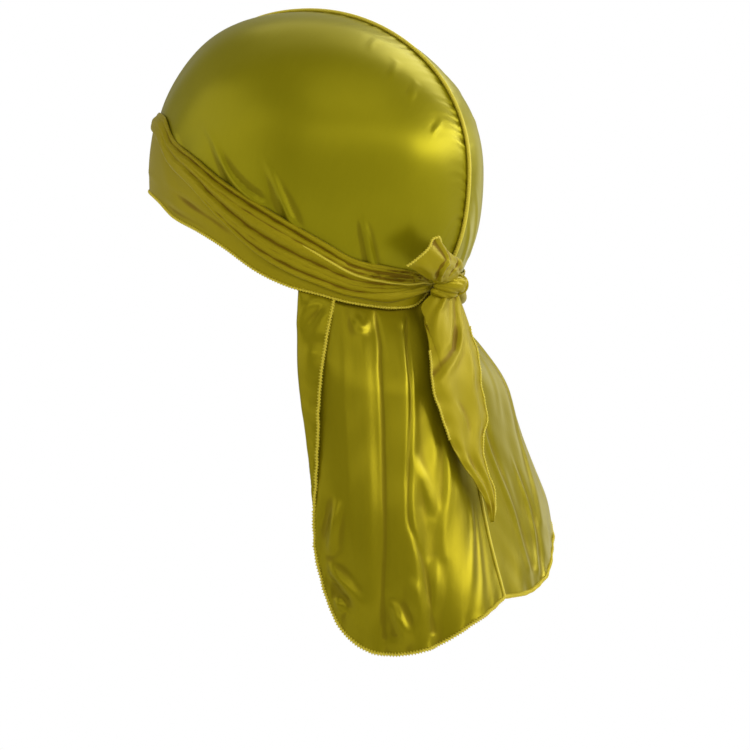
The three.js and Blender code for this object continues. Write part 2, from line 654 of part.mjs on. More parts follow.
// Knot: a lump with the lay of the tied cloth round it
function knot() {
  const wrapOutside = WRAP_LIFT + WRAP_WALL + PLEAT_HEIGHT * GATHER_SHARE;
  const direction = headDirection(KNOT_BEARING, KNOT_LEVEL);
  const middle = overHead(direction, wrapOutside + KNOT_CLEARANCE + KNOT_INWARD);
  const out = middle.clone().sub(overHead(direction, 0)).normalize();
  const across = new THREE.Vector3(0, 0, 1).cross(out).normalize();
  const up = new THREE.Vector3().crossVectors(out, across);
  const points = [];
  const index = [];
  const ring = (i) => 1 + (i - 1) * KNOT_STEPS;
  points.push(middle.clone().addScaledVector(across, -KNOT_WIDTH / 2));
  for (let i = 1; i < KNOT_RINGS; i += 1) {
    const slant = Math.PI * (i / KNOT_RINGS - 0.5);
    for (let j = 0; j < KNOT_STEPS; j += 1) {
      const turn = 2 * Math.PI * j / KNOT_STEPS;
      const lay = 1 - KNOT_GROOVE * (0.5 + 0.5 * Math.cos(KNOT_GROOVES * (turn + KNOT_LAY_SHARE * slant)));
      const reach = Math.sqrt(Math.cos(slant)) * lay;
      const depth = Math.cos(turn) < 0 ? KNOT_INWARD : KNOT_DEPTH - KNOT_INWARD;
      points.push(middle.clone()
        .addScaledVector(across, KNOT_WIDTH / 2 * Math.sin(slant))
        .addScaledVector(up, KNOT_HEIGHT / 2 * reach * Math.sin(turn))
        .addScaledVector(out, depth * reach * Math.cos(turn)));
    }
  }
  points.push(middle.clone().addScaledVector(across, KNOT_WIDTH / 2));
  const last = points.length - 1;
  for (let j = 0; j < KNOT_STEPS; j += 1) {
    const next = (j + 1) % KNOT_STEPS;
    index.push(0, ring(1) + next, ring(1) + j);
    for (let i = 1; i < KNOT_RINGS - 1; i += 1) {
      index.push(ring(i) + j, ring(i) + next, ring(i + 1) + next);
      index.push(ring(i) + j, ring(i + 1) + next, ring(i + 1) + j);
    }
    index.push(ring(KNOT_RINGS - 1) + j, ring(KNOT_RINGS - 1) + next, last);
  }
  return facingOut(points, index);
}

// Long strap end hanging from the knot over the tail
function strapEndLong() {
  const lift = CLOTH_WALL / 2 + FOLD_DEPTH + LAYER_CLEARANCE + END_WALL / 2;
  const top = KNOT_LEVEL - KNOT_HEIGHT / 2 - LONG_END_START;
  const surface = (share, run) => {
    const left = readTable(LONG_END, 'run', 'left', run);
    const right = readTable(LONG_END, 'run', 'right', run);
    const level = top - run * LONG_END_LENGTH;
    const fold = LONG_END_FOLD * (0.5 - 0.5 * Math.cos(2 * Math.PI * LONG_END_FOLDS * share));
    return lifted(THREE.MathUtils.lerp(left, right, share), level, lift + fold);
  };
  const place = (i, j) => [i / LONG_END_COLUMNS, j / LONG_END_ROWS];
  return hangingSheet(LONG_END_COLUMNS, LONG_END_ROWS, place, surface, () => END_WALL);
}

// Short strap end turned up over the wrap beside the knot
function strapEndShort() {
  const lift = WRAP_LIFT + WRAP_WALL + PLEAT_HEIGHT + SHORT_END_STAND + END_WALL / 2;
  const surface = (run, share) => {
    const read = (name) => readTable(SHORT_END, 'run', name, run);
    const aside = THREE.MathUtils.lerp(read('lowAside'), read('highAside'), share);
    const rise = THREE.MathUtils.lerp(read('lowRise'), read('highRise'), share);
    const level = KNOT_LEVEL + KNOT_HEIGHT / 2 + rise * SHORT_END_REACH;
    const fold = SHORT_END_FOLD * Math.pow(Math.sin(Math.PI * share), 2);
    const bearing = KNOT_BEARING - aside * SHORT_END_SPREAD_BEARING;
    return overHead(headDirection(bearing, level), lift + fold);
  };
  const place = (i, j) => [i / SHORT_END_ROWS, j / SHORT_END_COLUMNS];
  return hangingSheet(SHORT_END_ROWS, SHORT_END_COLUMNS, place, surface, () => END_WALL);
}

const PIECES = {
  crown_left: crownPanel(1),
  crown_right: crownPanel(-1),
  centre_seam: crownSeam(),
  brow_band: browBand(),
  upper_wrap: upperWrap(),
  knot: knot(),
  strap_end_short: strapEndShort(),
  strap_end_long: strapEndLong(),
  tail_left: tailLeft(),
  tail_right: tailRight(),
  tail_seam: tailSeam(),
};

const durag = new THREE.Group();
durag.name = 'durag';
for (const [name, geometry] of Object.entries(PIECES)) {
  const material = new THREE.MeshStandardMaterial({
    color: CLOTH_COLOUR,
    roughness: CLOTH_ROUGHNESS,
    metalness: 0,
  });
  material.name = name;
  const mesh = new THREE.Mesh(geometry, material);
  mesh.name = name;
  durag.add(mesh);
}

export default durag;
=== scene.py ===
"""Dressed model of a satin durag in its worn form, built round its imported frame.

Each sub-assembly is a class with its sizes in millimetres. The frame is in metres.
"""

from __future__ import annotations

import logging
import math
from collections.abc import Callable, Sequence
from dataclasses import dataclass, field, replace
from enum import Enum
from functools import partial

import bpy
import numpy as np
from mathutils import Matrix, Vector


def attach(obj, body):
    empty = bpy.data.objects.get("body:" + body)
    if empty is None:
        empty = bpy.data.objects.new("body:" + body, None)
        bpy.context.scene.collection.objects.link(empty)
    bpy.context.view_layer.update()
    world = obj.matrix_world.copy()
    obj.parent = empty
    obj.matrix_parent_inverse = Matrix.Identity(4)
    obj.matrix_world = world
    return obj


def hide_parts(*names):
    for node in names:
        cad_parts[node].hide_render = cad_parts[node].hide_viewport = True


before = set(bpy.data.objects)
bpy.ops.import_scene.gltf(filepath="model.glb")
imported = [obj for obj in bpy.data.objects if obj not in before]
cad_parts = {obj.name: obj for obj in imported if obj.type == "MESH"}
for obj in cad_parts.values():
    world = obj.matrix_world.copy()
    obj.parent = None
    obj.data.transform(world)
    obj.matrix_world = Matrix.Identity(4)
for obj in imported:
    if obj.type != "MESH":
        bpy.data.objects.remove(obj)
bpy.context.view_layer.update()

LOG = logging.getLogger("durag")
Array = np.ndarray
Onto = Callable[[Array, Array], Array]
Colour = tuple[float, float, float]

MM = 0.001  # metres in a millimetre
SLOPE_STEP = 1e-3  # step over which a slope is read
LEAST_RADIUS = 1e-3  # keeps a fold's radius over nothing
NO_LENGTH = 1e-12  # least length and ratio that are divided by
NO_RATIO = 1e-9
SEAM_PLACE = 1.0  # place of the tail's seam, with its left edge at 0
RIGHT_PLACE = 2.0  # place of the tail's right edge
WAVE_COUNT = 6  # waves that are added up in a ripple
WAVE_PITCHES = (0.6, 1.7)  # their shortest and longest, as shares of its length
WAVE_PEAK = 1.4


def unit(vectors: Array) -> Array:
    """Returns the vectors scaled to length 1."""
    return vectors / np.maximum(np.linalg.norm(vectors, axis=-1, keepdims=True), NO_LENGTH)


def ease(value: Array, low: float, high: float) -> Array:
    """Returns a smooth step from 0 at low to 1 at high."""
    share = np.clip((value - low) / (high - low), 0, 1)
    return share * share * (3 - 2 * share)


def mixed(low: Array, high: Array, share: Array) -> Array:
    """Returns the value between low and high at a share."""
    return low + (high - low) * share


def read_table(keys: Array | Sequence[float], values: Sequence[float], at: Array) -> Array:
    """Reads a table on a smooth curve through its rows.

    Args:
        keys: Rising keys along the last axis, shared or one set for each point.
        values: One value for each key.
        at: Keys to read at.

    Returns:
        The values, in the shape of at.
    """
    at = np.asarray(at, float)
    worth = np.asarray(values, float)
    last = len(worth) - 1
    keys = np.broadcast_to(np.asarray(keys, float), at.shape + (last + 1,))
    row = np.clip((keys <= at[..., None]).sum(-1) - 1, 0, last - 1)

    def key(number: Array) -> Array:
        """Returns the key of a row at each point."""
        return np.take_along_axis(keys, number[..., None], -1)[..., 0]

    def slope(number: Array) -> Array:
        """Returns the curve's slope at a row."""
        before, after = np.maximum(number - 1, 0), np.minimum(number + 1, last)
        return (worth[after] - worth[before]) / (key(after) - key(before))

    span = key(row + 1) - key(row)
    t = np.clip((at - key(row)) / span, 0, 1)
    ends = (1 + 2 * t) * (1 - t) ** 2 * worth[row] + t * t * (3 - 2 * t) * worth[row + 1]
    return ends + t * (1 - t) * span * ((1 - t) * slope(row) - t * slope(row + 1))


def through(points: Array, share: Array) -> Array:
    """Returns points at shares of a smooth curve through a row of points."""
    stops = np.linspace(0, 1, len(points))
    return np.stack([read_table(stops, column, share) for column in np.transpose(points)], -1)


def spread_grid(
    columns: int, rows: int, across: tuple[float, float] = (0, 1), down: tuple[float, float] = (0, 1)
) -> Sequence[Array]:
    """Returns the values across and down a grid, evenly spread between their ends."""
    return np.meshgrid(np.linspace(*across, columns), np.linspace(*down, rows), indexing="ij")


@dataclass(frozen=True)
class HeadForm:
    """Form that the cloth follows, in millimetres. Levels are heights over its widest section."""

    length: float = 190.0
    width: float = 156.0
    dome: float = 89.5
    fullness: float = 2.13
    lean: float = 13.0
    nape_depth: float = 75.0
    width_draw: float = 0.1
    length_draw: float = 0.22
    cinch_share: float = 0.035
    cinch_level: float = -0.633
    cinch_reach: float = 16.0
    cinch_bearings: tuple[float, float] = (105.0, 150.0)
    steep: float = 0.8

    def point(self, bearing: Array, level: Array) -> Array:
        """Returns the point of the form at a bearing in degrees and a level."""
        bearing, level = np.broadcast_arrays(np.asarray(bearing, float), np.asarray(level, float))
        rise = np.clip(level / self.dome, 0, 1)
        ring = np.maximum(1 - rise**self.fullness, 0) ** (1 / self.fullness)
        low = (np.minimum(level, 0) / self.nape_depth) ** 2
        behind = ease(np.abs(bearing), *self.cinch_bearings)
        near = np.exp(-(((level - self.cinch_level * self.dome) / self.cinch_reach) ** 2))
        size = ring * (1 - self.cinch_share * behind * near)
        turn = np.radians(bearing)
        x = self.width / 2 * size * (1 - self.width_draw * low) * np.sin(turn)
        y = -self.length / 2 * size * (1 - self.length_draw * low) * np.cos(turn)
        return np.stack([x, y + self.lean * (1 - rise * rise), level - self.dome], -1)

    def place(self, direction: Array) -> tuple[Array, Array]:
        """Returns the bearing and level that a direction from the middle points to."""
        flat = np.maximum(np.hypot(direction[..., 0], direction[..., 1]), NO_RATIO)
        bearing = np.degrees(np.arctan2(direction[..., 0], -direction[..., 1]))
        up = direction[..., 2]
        raised = (1 + (flat / np.maximum(up, NO_RATIO)) ** self.fullness) ** (-1 / self.fullness)
        return bearing, self.dome * np.where(up <= 0, up / flat, raised)

    def direction(self, bearing: Array, level: Array) -> Array:
        """Returns the direction from the middle to a bearing and level."""
        bearing, level = np.broadcast_arrays(np.asarray(bearing, float), np.asarray(level, float))
        turn, share = np.radians(bearing), level / self.dome
        inside = np.clip(share, NO_RATIO, 1 - NO_RATIO)
        high = 1 / (inside**-self.fullness - 1) ** (1 / self.fullness)
        steep = np.where(share <= 0, share, high)
        return unit(np.stack([np.sin(turn), -np.cos(turn), steep], -1))

    def over(self, direction: Array, lift: Array | float) -> Array:
        """Returns the points over the form in a direction, lifted along its normal."""
        upright = np.abs(direction[..., 2:3]) > self.steep
        side = np.where(upright, np.array([1.0, 0, 0]), np.array([0, 0, 1.0]))
        first = unit(np.cross(side, direction))
        second = np.cross(direction, first)

        def at(step: float, along: Array) -> Array:
            """Returns the form's point a small step along."""
            return self.point(*self.place(unit(direction + step * along)))

        across = at(SLOPE_STEP, first) - at(-SLOPE_STEP, first)
        down = at(SLOPE_STEP, second) - at(-SLOPE_STEP, second)
        normal = unit(np.cross(across, down))
        return self.point(*self.place(direction)) + normal * np.asarray(lift, float)[..., None]

    def laid(self, bearing: Array, level: Array, lift: Array | float) -> Array:
        """Returns the points at a bearing and level, lifted along the normal."""
        return self.over(self.direction(bearing, level), lift)


HEAD = HeadForm()


@dataclass(frozen=True)
class WrapLines:
    """Edges of both wraps by bearing, as shares of the dome's height."""

    bearing: tuple[float, ...] = (0, 26, 40, 50, 60, 73, 84, 97, 109, 121, 133, 146, 156, 166, 172, 180)
    top: tuple[float, ...] = (
        0.41, 0.4, 0.38, 0.34, 0.205, 0.08, -0.05, -0.19,
        -0.315, -0.43, -0.53, -0.57, -0.59, -0.615, -0.63, -0.64,
    )
    pleated: tuple[float, ...] = (
        0.3, 0.29, 0.27, 0.23, 0.115, -0.025, -0.18, -0.345,
        -0.505, -0.635, -0.73, -0.75, -0.73, -0.69, -0.68, -0.68,
    )
    laid: tuple[float, ...] = (
        0.3, 0.29, 0.26, 0.19, 0.05, -0.11, -0.29, -0.49,
        -0.61, -0.69, -0.75, -0.768, -0.75, -0.7, -0.68, -0.68,
    )
    band: tuple[float, ...] = (
        -0.06, -0.08, -0.115, -0.17, -0.265, -0.355, -0.455, -0.6,
        -0.69, -0.74, -0.785, -0.81, -0.815, -0.79, -0.7, -0.69,
    )

    def read(self, values: Sequence[float], bearing: Array) -> Array:
        """Returns the level of an edge at a bearing."""
        return HEAD.dome * read_table(self.bearing, values, np.abs(bearing))

    def crown(self, bearing: Array) -> Array:
        """Returns the level down to which the crown runs under the wraps."""
        top, low = self.read(self.top, bearing), self.read(self.band, bearing)
        return np.maximum(top - CROWN_TUCK, low + BAND_COVER)


WRAPS = WrapLines()
CLOTH_WALL = 1.2  # wall of the tail's solids
PANEL_GAP = 0.2  # slit between the crown's two panels
CROWN_TUCK = 9.0  # how far the crown runs on under the wraps
BAND_COVER = 1.5  # least that the band reaches below the crown
TAIL_COVER = 3.0  # how far the tail overlaps the crown
HEAD_MIDDLE = (0.0, 13.0, -90.0)  # points that a sheet's outside faces away from
TAIL_MIDDLE = (0.0, 13.0, -200.0)
TAB_MIDDLE = (0.0, 60.0, -140.0)
KNOT_LEVEL = -0.639 * HEAD.dome
KNOT_BEARING = 175.5


@dataclass(frozen=True)
class Folds:
    """Hanging folds of a tail panel: places at the gather and the hem, and heights."""

    top: tuple[float, ...]
    hem: tuple[float, ...]
    height: tuple[float, ...]

    def places(self, fallen: Array) -> Array:
        """Returns the place of each fold line at a share of the fall."""
        top, hem = np.array(self.top), np.array(self.hem)
        return top + (hem - top) * np.asarray(fallen, float)[..., None]

    def followed(self, step: Array, fallen: Array) -> Array:
        """Returns the place of a mesh column that follows the fold lines."""
        lines = self.places(fallen)
        low = np.clip(np.floor(step).astype(int), 0, len(self.top) - 2)
        low = np.broadcast_to(low, lines.shape[:-1])
        first = np.take_along_axis(lines, low[..., None], -1)[..., 0]
        second = np.take_along_axis(lines, low[..., None] + 1, -1)[..., 0]
        return mixed(first, second, step - low)


LEFT_FOLDS = Folds(
    (0, 0.1, 0.2, 0.3, 0.4, 0.49, 0.58, 0.66, 0.735, 0.8, 0.87, 0.94, 1),
    (0, 0.07, 0.14, 0.2, 0.255, 0.31, 0.39, 0.46, 0.535, 0.64, 0.76, 0.88, 1),
    (0, 0.1, 0.35, 0.7, 1, 0.15, 0.6, 1, 0.1, 0.55, 0.95, 0.3, 0),
)
RIGHT_FOLDS = Folds(
    (0, 0.1, 0.22, 0.36, 0.52, 0.66, 0.8, 0.93, 1),
    (0, 0.08, 0.2, 0.36, 0.54, 0.7, 0.82, 0.94, 1),
    (0, 0.05, 0.3, 0.1, 0.5, 0.1, 0.3, 0, 0),
)
SECTION_FALLS = (-0.05, 0.085, 0.255, 0.425, 0.595, 0.7, 0.855, 1)
SECTIONS = {
    "left": (0, 0, 0.25, 0.57, 0.97, 1.05, 0.9, 0.65),
    "left_set": (0, 0, 0.14, 0.5, 0.78, 0.82, 0.86, 1),
    "back": (0, 0.14, 0.29, 0.415, 0.565, 0.675, 0.865, 1),
    "right": (0, 0.34, 0.7, 0.85, 1, 0.95, 0.79, 0.68),
    "right_set": (0, 0.13, 0.34, 0.565, 0.84, 0.925, 0.955, 1),
}
LEFT_HEM = (
    (0, 0.03, 0.07, 0.13, 0.27, 0.5, 0.76, 1),
    (0.7, 0.778, 0.856, 0.928, 0.98, 0.967, 0.895, 0.843),
)
RIGHT_HEM = ((0, 0.25, 0.5, 0.65, 0.82, 1), (0.625, 0.7, 0.772, 0.814, 0.838, 0.843))


@dataclass(frozen=True)
class TailForm:
    """Form of the hanging neck tail. Place 0 is its left edge, 1 its seam, 2 its right edge."""

    length: float = 199.0
    gather: float = -0.678 * HEAD.dome
    end_bearing: float = 113.5
    left_reach: float = 74.0
    left_set: float = 49.5
    back_reach: float = 126.0
    right_reach: float = 104.0
    right_set: float = 91.0
    release: float = 48.0
    fold_release: float = 30.0
    tuck: float = 8.0
    hold: float = 0.5
    fold_depth: float = 2.8
    fold_top: float = 0.6

    def fallen(self, level: Array) -> Array:
        """Returns the share of the fall at a level."""
        return (self.gather - np.asarray(level, float)) / self.length

    def bearing(self, place: Array) -> Array:
        """Returns the bearing at which a place leaves the form."""
        return mixed(self.end_bearing, 180.0, place)

    def base(self, place: Array, level: Array) -> Array:
        """Returns the point of the plain hanging section."""
        place, level = np.broadcast_arrays(np.asarray(place, float), np.asarray(level, float))
        fall = self.fallen(level)
        part = {name: read_table(SECTION_FALLS, row, fall) for name, row in SECTIONS.items()}
        side = HEAD.point(self.end_bearing, self.gather)
        nape = HEAD.point(180.0, self.gather)
        left = place <= SEAM_PLACE
        reach = np.where(left, self.left_reach, self.right_reach)
        width = mixed(side[0], reach, np.where(left, part["left"], part["right"]))
        hem_set = HEAD.lean + np.where(left, self.left_set, self.right_set)
        set_back = mixed(side[1], hem_set, np.where(left, part["left_set"], part["right_set"]))
        back = mixed(nape[1], HEAD.lean + self.back_reach, part["back"])
        angle = np.where(left, place, RIGHT_PLACE - place) * np.pi / 2
        x = np.where(left, 1, -1) * width * np.cos(angle)
        y = set_back + (back - set_back) * np.sin(angle)
        return np.stack([x, y, level - HEAD.dome], -1)

    def held(self, place: Array) -> Array:
        """Returns the level down to which the form holds a place."""
        inner = np.minimum(place, RIGHT_PLACE - place)
        return WRAPS.read(WRAPS.band, self.bearing(inner)) - self.hold

    def freed(self, place: Array, level: Array, release: float) -> Array:
        """Returns 0 where the tail lies on the form and 1 where it hangs free."""
        return 1 - (1 - np.clip((self.held(place) - level) / release, 0, 1)) ** 2

    def surface(self, place: Array, level: Array) -> Array:
        """Returns the tail's middle surface without its folds."""
        place, level = np.broadcast_arrays(np.asarray(place, float), np.asarray(level, float))
        hung_from = np.maximum(level, self.held(place))
        gathered = HEAD.laid(self.bearing(place), hung_from, CLOTH_WALL / 2)
        gathered[..., 2] += level - hung_from
        free = self.freed(place, level, self.release)[..., None]
        return mixed(gathered, self.base(place, level), free)

    def fold_lift(self, folds: Folds, place: Array, level: Array) -> Array:
        """Returns how far the folds stand out at a place and level."""
        fall = self.fallen(level)
        height = np.maximum(read_table(folds.places(fall), folds.height, place), 0)
        grown = mixed(self.fold_top, 1.0, fall)
        return self.fold_depth * height * grown * self.freed(place, level, self.fold_release)

    def lifted(self, place: Array, level: Array, lift: Array | float) -> Array:
        """Returns the surface moved out level by a lift."""
        along = self.surface(place + SLOPE_STEP, level) - self.surface(place - SLOPE_STEP, level)
        out = np.stack([along[..., 1], -along[..., 0], np.zeros_like(along[..., 0])], -1)
        return self.surface(place, level) + unit(out) * np.asarray(lift, float)[..., None]

    def panel_width(self, edge: float, level: Array) -> Array:
        """Returns the width of a panel from its side edge to the seam."""
        side, seam = self.base(edge, level), self.base(SEAM_PLACE, level)
        return np.pi / 2 * np.hypot(side[..., 0], seam[..., 1] - side[..., 1]) / math.sqrt(2)

    def top(self, place: Array) -> Array:
        """Returns the level at which the tail starts under the wraps."""
        return np.minimum(WRAPS.crown(self.bearing(place)) + TAIL_COVER, self.gather + self.tuck)

    def hem(self, table: tuple[Sequence[float], Sequence[float]], place: Array) -> Array:
        """Returns the level of the bottom hem at a place across a panel."""
        return self.gather - self.length * read_table(*table, place)


TAIL = TailForm()


@dataclass(frozen=True)
class TurnedStrip:
    """Strip along the tail's left edge that is turned back outwards."""

    width: float = 22.0
    length: float = 121.0
    lift: float = 4.0
    radius: float = 2.2
    taper: float = 1.45
    ease: float = 3.0
    tucked: float = 0.9
    release: float = 9.0

    def at(self, level: Array) -> tuple[Array, Array, Array]:
        """Returns the strip's width, softness and fold radius at a level."""
        share = np.clip((TAIL.gather - np.asarray(level, float)) / self.length, 0, 1)
        width = self.width * (1 - share**self.taper)
        soft = np.minimum(1, width / (self.ease * self.lift))
        return width, soft, self.radius * soft + LEAST_RADIUS

    def place(self, run: Array, level: Array) -> Array:
        """Returns the place that a running width from the hemmed edge lies at."""
        width, _, radius = self.at(level)
        return (np.hypot(run - width, radius) - radius) / TAIL.panel_width(0.0, level)

    def surface(self, run: Array, level: Array) -> Array:
        """Returns the left panel by running width from its hemmed edge."""
        width, soft, radius = self.at(level)
        place = self.place(run, level)
        turned = 0.5 - 0.5 * (run - width) / np.hypot(run - width, radius)
        folds = TAIL.fold_lift(LEFT_FOLDS, place, level)
        lift = mixed(self.tucked, self.lift, TAIL.freed(np.maximum(place, 0), level, self.release))
        return TAIL.lifted(place, level, turned * lift * soft + (1 - turned) * folds)

    def run(self, place: Array, level: Array) -> Array:
        """Returns the running width of a place on the panel behind the strip."""
        width, _, radius = self.at(level)
        reach = place * TAIL.panel_width(0.0, level) + radius
        return width + np.sqrt(np.maximum(reach**2 - radius**2, 0))


STRIP = TurnedStrip()


class Side(Enum):
    """Side of the durag as it is worn, with the sign of its X."""

    LEFT = 1
    RIGHT = -1


class Edge(Enum):
    """Border of a sheet's grid, by its column and row."""

    FIRST_COLUMN = (0, slice(None))
    LAST_COLUMN = (-1, slice(None))
    FIRST_ROW = (slice(None), 0)
    LAST_ROW = (slice(None), -1)


class Held(Enum):
    """How a sheet of cloth is held."""

    STRETCHED = "stretched"
    GATHERED = "gathered"
    HUNG = "hung"
    FOLDED = "folded"


@dataclass(frozen=True)
class Ripple:
    """Soft irregular wave in cloth, in millimetres, with a fixed seed for its phases."""

    height: float
    length: float
    seed: int
    slant: float = 0.0

    def at(self, along: Array, aside: Array | float = 0.0, other: int = 0) -> Array:
        """Returns how high the wave stands.

        Args:
            along: Running lengths.
            aside: Lengths or shares that the slant multiplies.
            other: Added to the seed, for another sheet.
        """
        draw = np.random.default_rng(self.seed + other)
        run = along + self.slant * aside
        total = np.zeros_like(run)
        for _ in range(WAVE_COUNT):
            pitch = self.length * draw.uniform(*WAVE_PITCHES)
            total = total + np.sin(2 * np.pi * (run / pitch + draw.uniform()))
        return self.height * (total / math.sqrt(WAVE_COUNT) / WAVE_PEAK)


@dataclass(frozen=True)
class Stroke:
    """Tension fold from its fine tip to its broad foot: a ridge with a hollow beside it.

    The way holds points in the coordinates of the form that the fold lies on. A negative
    height makes a groove. The foot is strongest and stays so where it runs under a layer.
    """

    way: tuple[tuple[float, float], ...]
    width: float
    height: float
    hollow: float = 0.45
    side: int = 1
    rise: float = 0.5
    fade: float = 0.0
    SAMPLES = 60
    REACH = 5.0
    MARGIN = 5.0
    TIP = 0.6
    HOLLOW_PLACE = 1.6
    HOLLOW_WIDTH = 1.2

    def mirrored(self) -> Stroke:
        """Returns the same fold on the other side of the form."""
        return replace(self, way=tuple((-bearing, level) for bearing, level in self.way), side=-self.side)

    def lift(self, points: Array, normals: Array, onto: Onto) -> Array:
        """Returns how far the fold moves each point along its normal.

        Args:
            points: Grid of points of the sheet.
            normals: Their normals.
            onto: Gives the point of the form for coordinates of the way.
        """
        line = onto(*through(np.array(self.way), np.linspace(0, 1, self.SAMPLES)).T)
        length = np.linalg.norm(np.diff(line, axis=0), axis=1).sum()
        tangent = unit(np.gradient(line, axis=0))
        flat = points.reshape(-1, 3)
        amount = np.zeros(len(flat))
        middle, reach = line.mean(0), length / 2 + self.REACH * self.width + self.MARGIN
        near = np.flatnonzero(np.linalg.norm(flat - middle, axis=1) < reach + length / 4)
        if not len(near):
            return amount.reshape(points.shape[:2])
        gaps = np.linalg.norm(flat[near][:, None] - line[None], axis=2)
        out = normals.reshape(-1, 3)[near][gaps.argmin(0)]
        aside = unit(np.cross(tangent, out))
        nearest = gaps.argmin(1)
        offset = flat[near] - line[nearest]
        across = np.einsum("ij,ij->i", offset, aside[nearest])
        along = np.einsum("ij,ij->i", offset, tangent[nearest])
        t = nearest / (self.SAMPLES - 1) + along / length
        beyond = np.maximum(np.abs(t - 0.5) - 0.5, 0) * length / self.width
        inside = np.clip(t, 0, 1)
        width = self.width * (self.TIP + (1 - self.TIP) * inside)
        grown = ease(inside, 0, self.rise) * (1 - self.fade * ease(inside, self.rise, 1))
        ridge = np.exp(-((across / width) ** 2))
        beside = across - self.HOLLOW_PLACE * self.side * width
        dip = np.exp(-((beside / (self.HOLLOW_WIDTH * width)) ** 2))
        far = np.linalg.norm(offset, axis=1) < self.REACH * self.width
        amount[near] = far * self.height * grown * np.exp(-(beyond**2)) * (ridge - self.hollow * dip)
        return amount.reshape(points.shape[:2])


def both_sides(strokes: Sequence[Stroke]) -> list[Stroke]:
    """Returns folds with their mirror images on the other side of the form."""
    return [*strokes, *(stroke.mirrored() for stroke in strokes)]


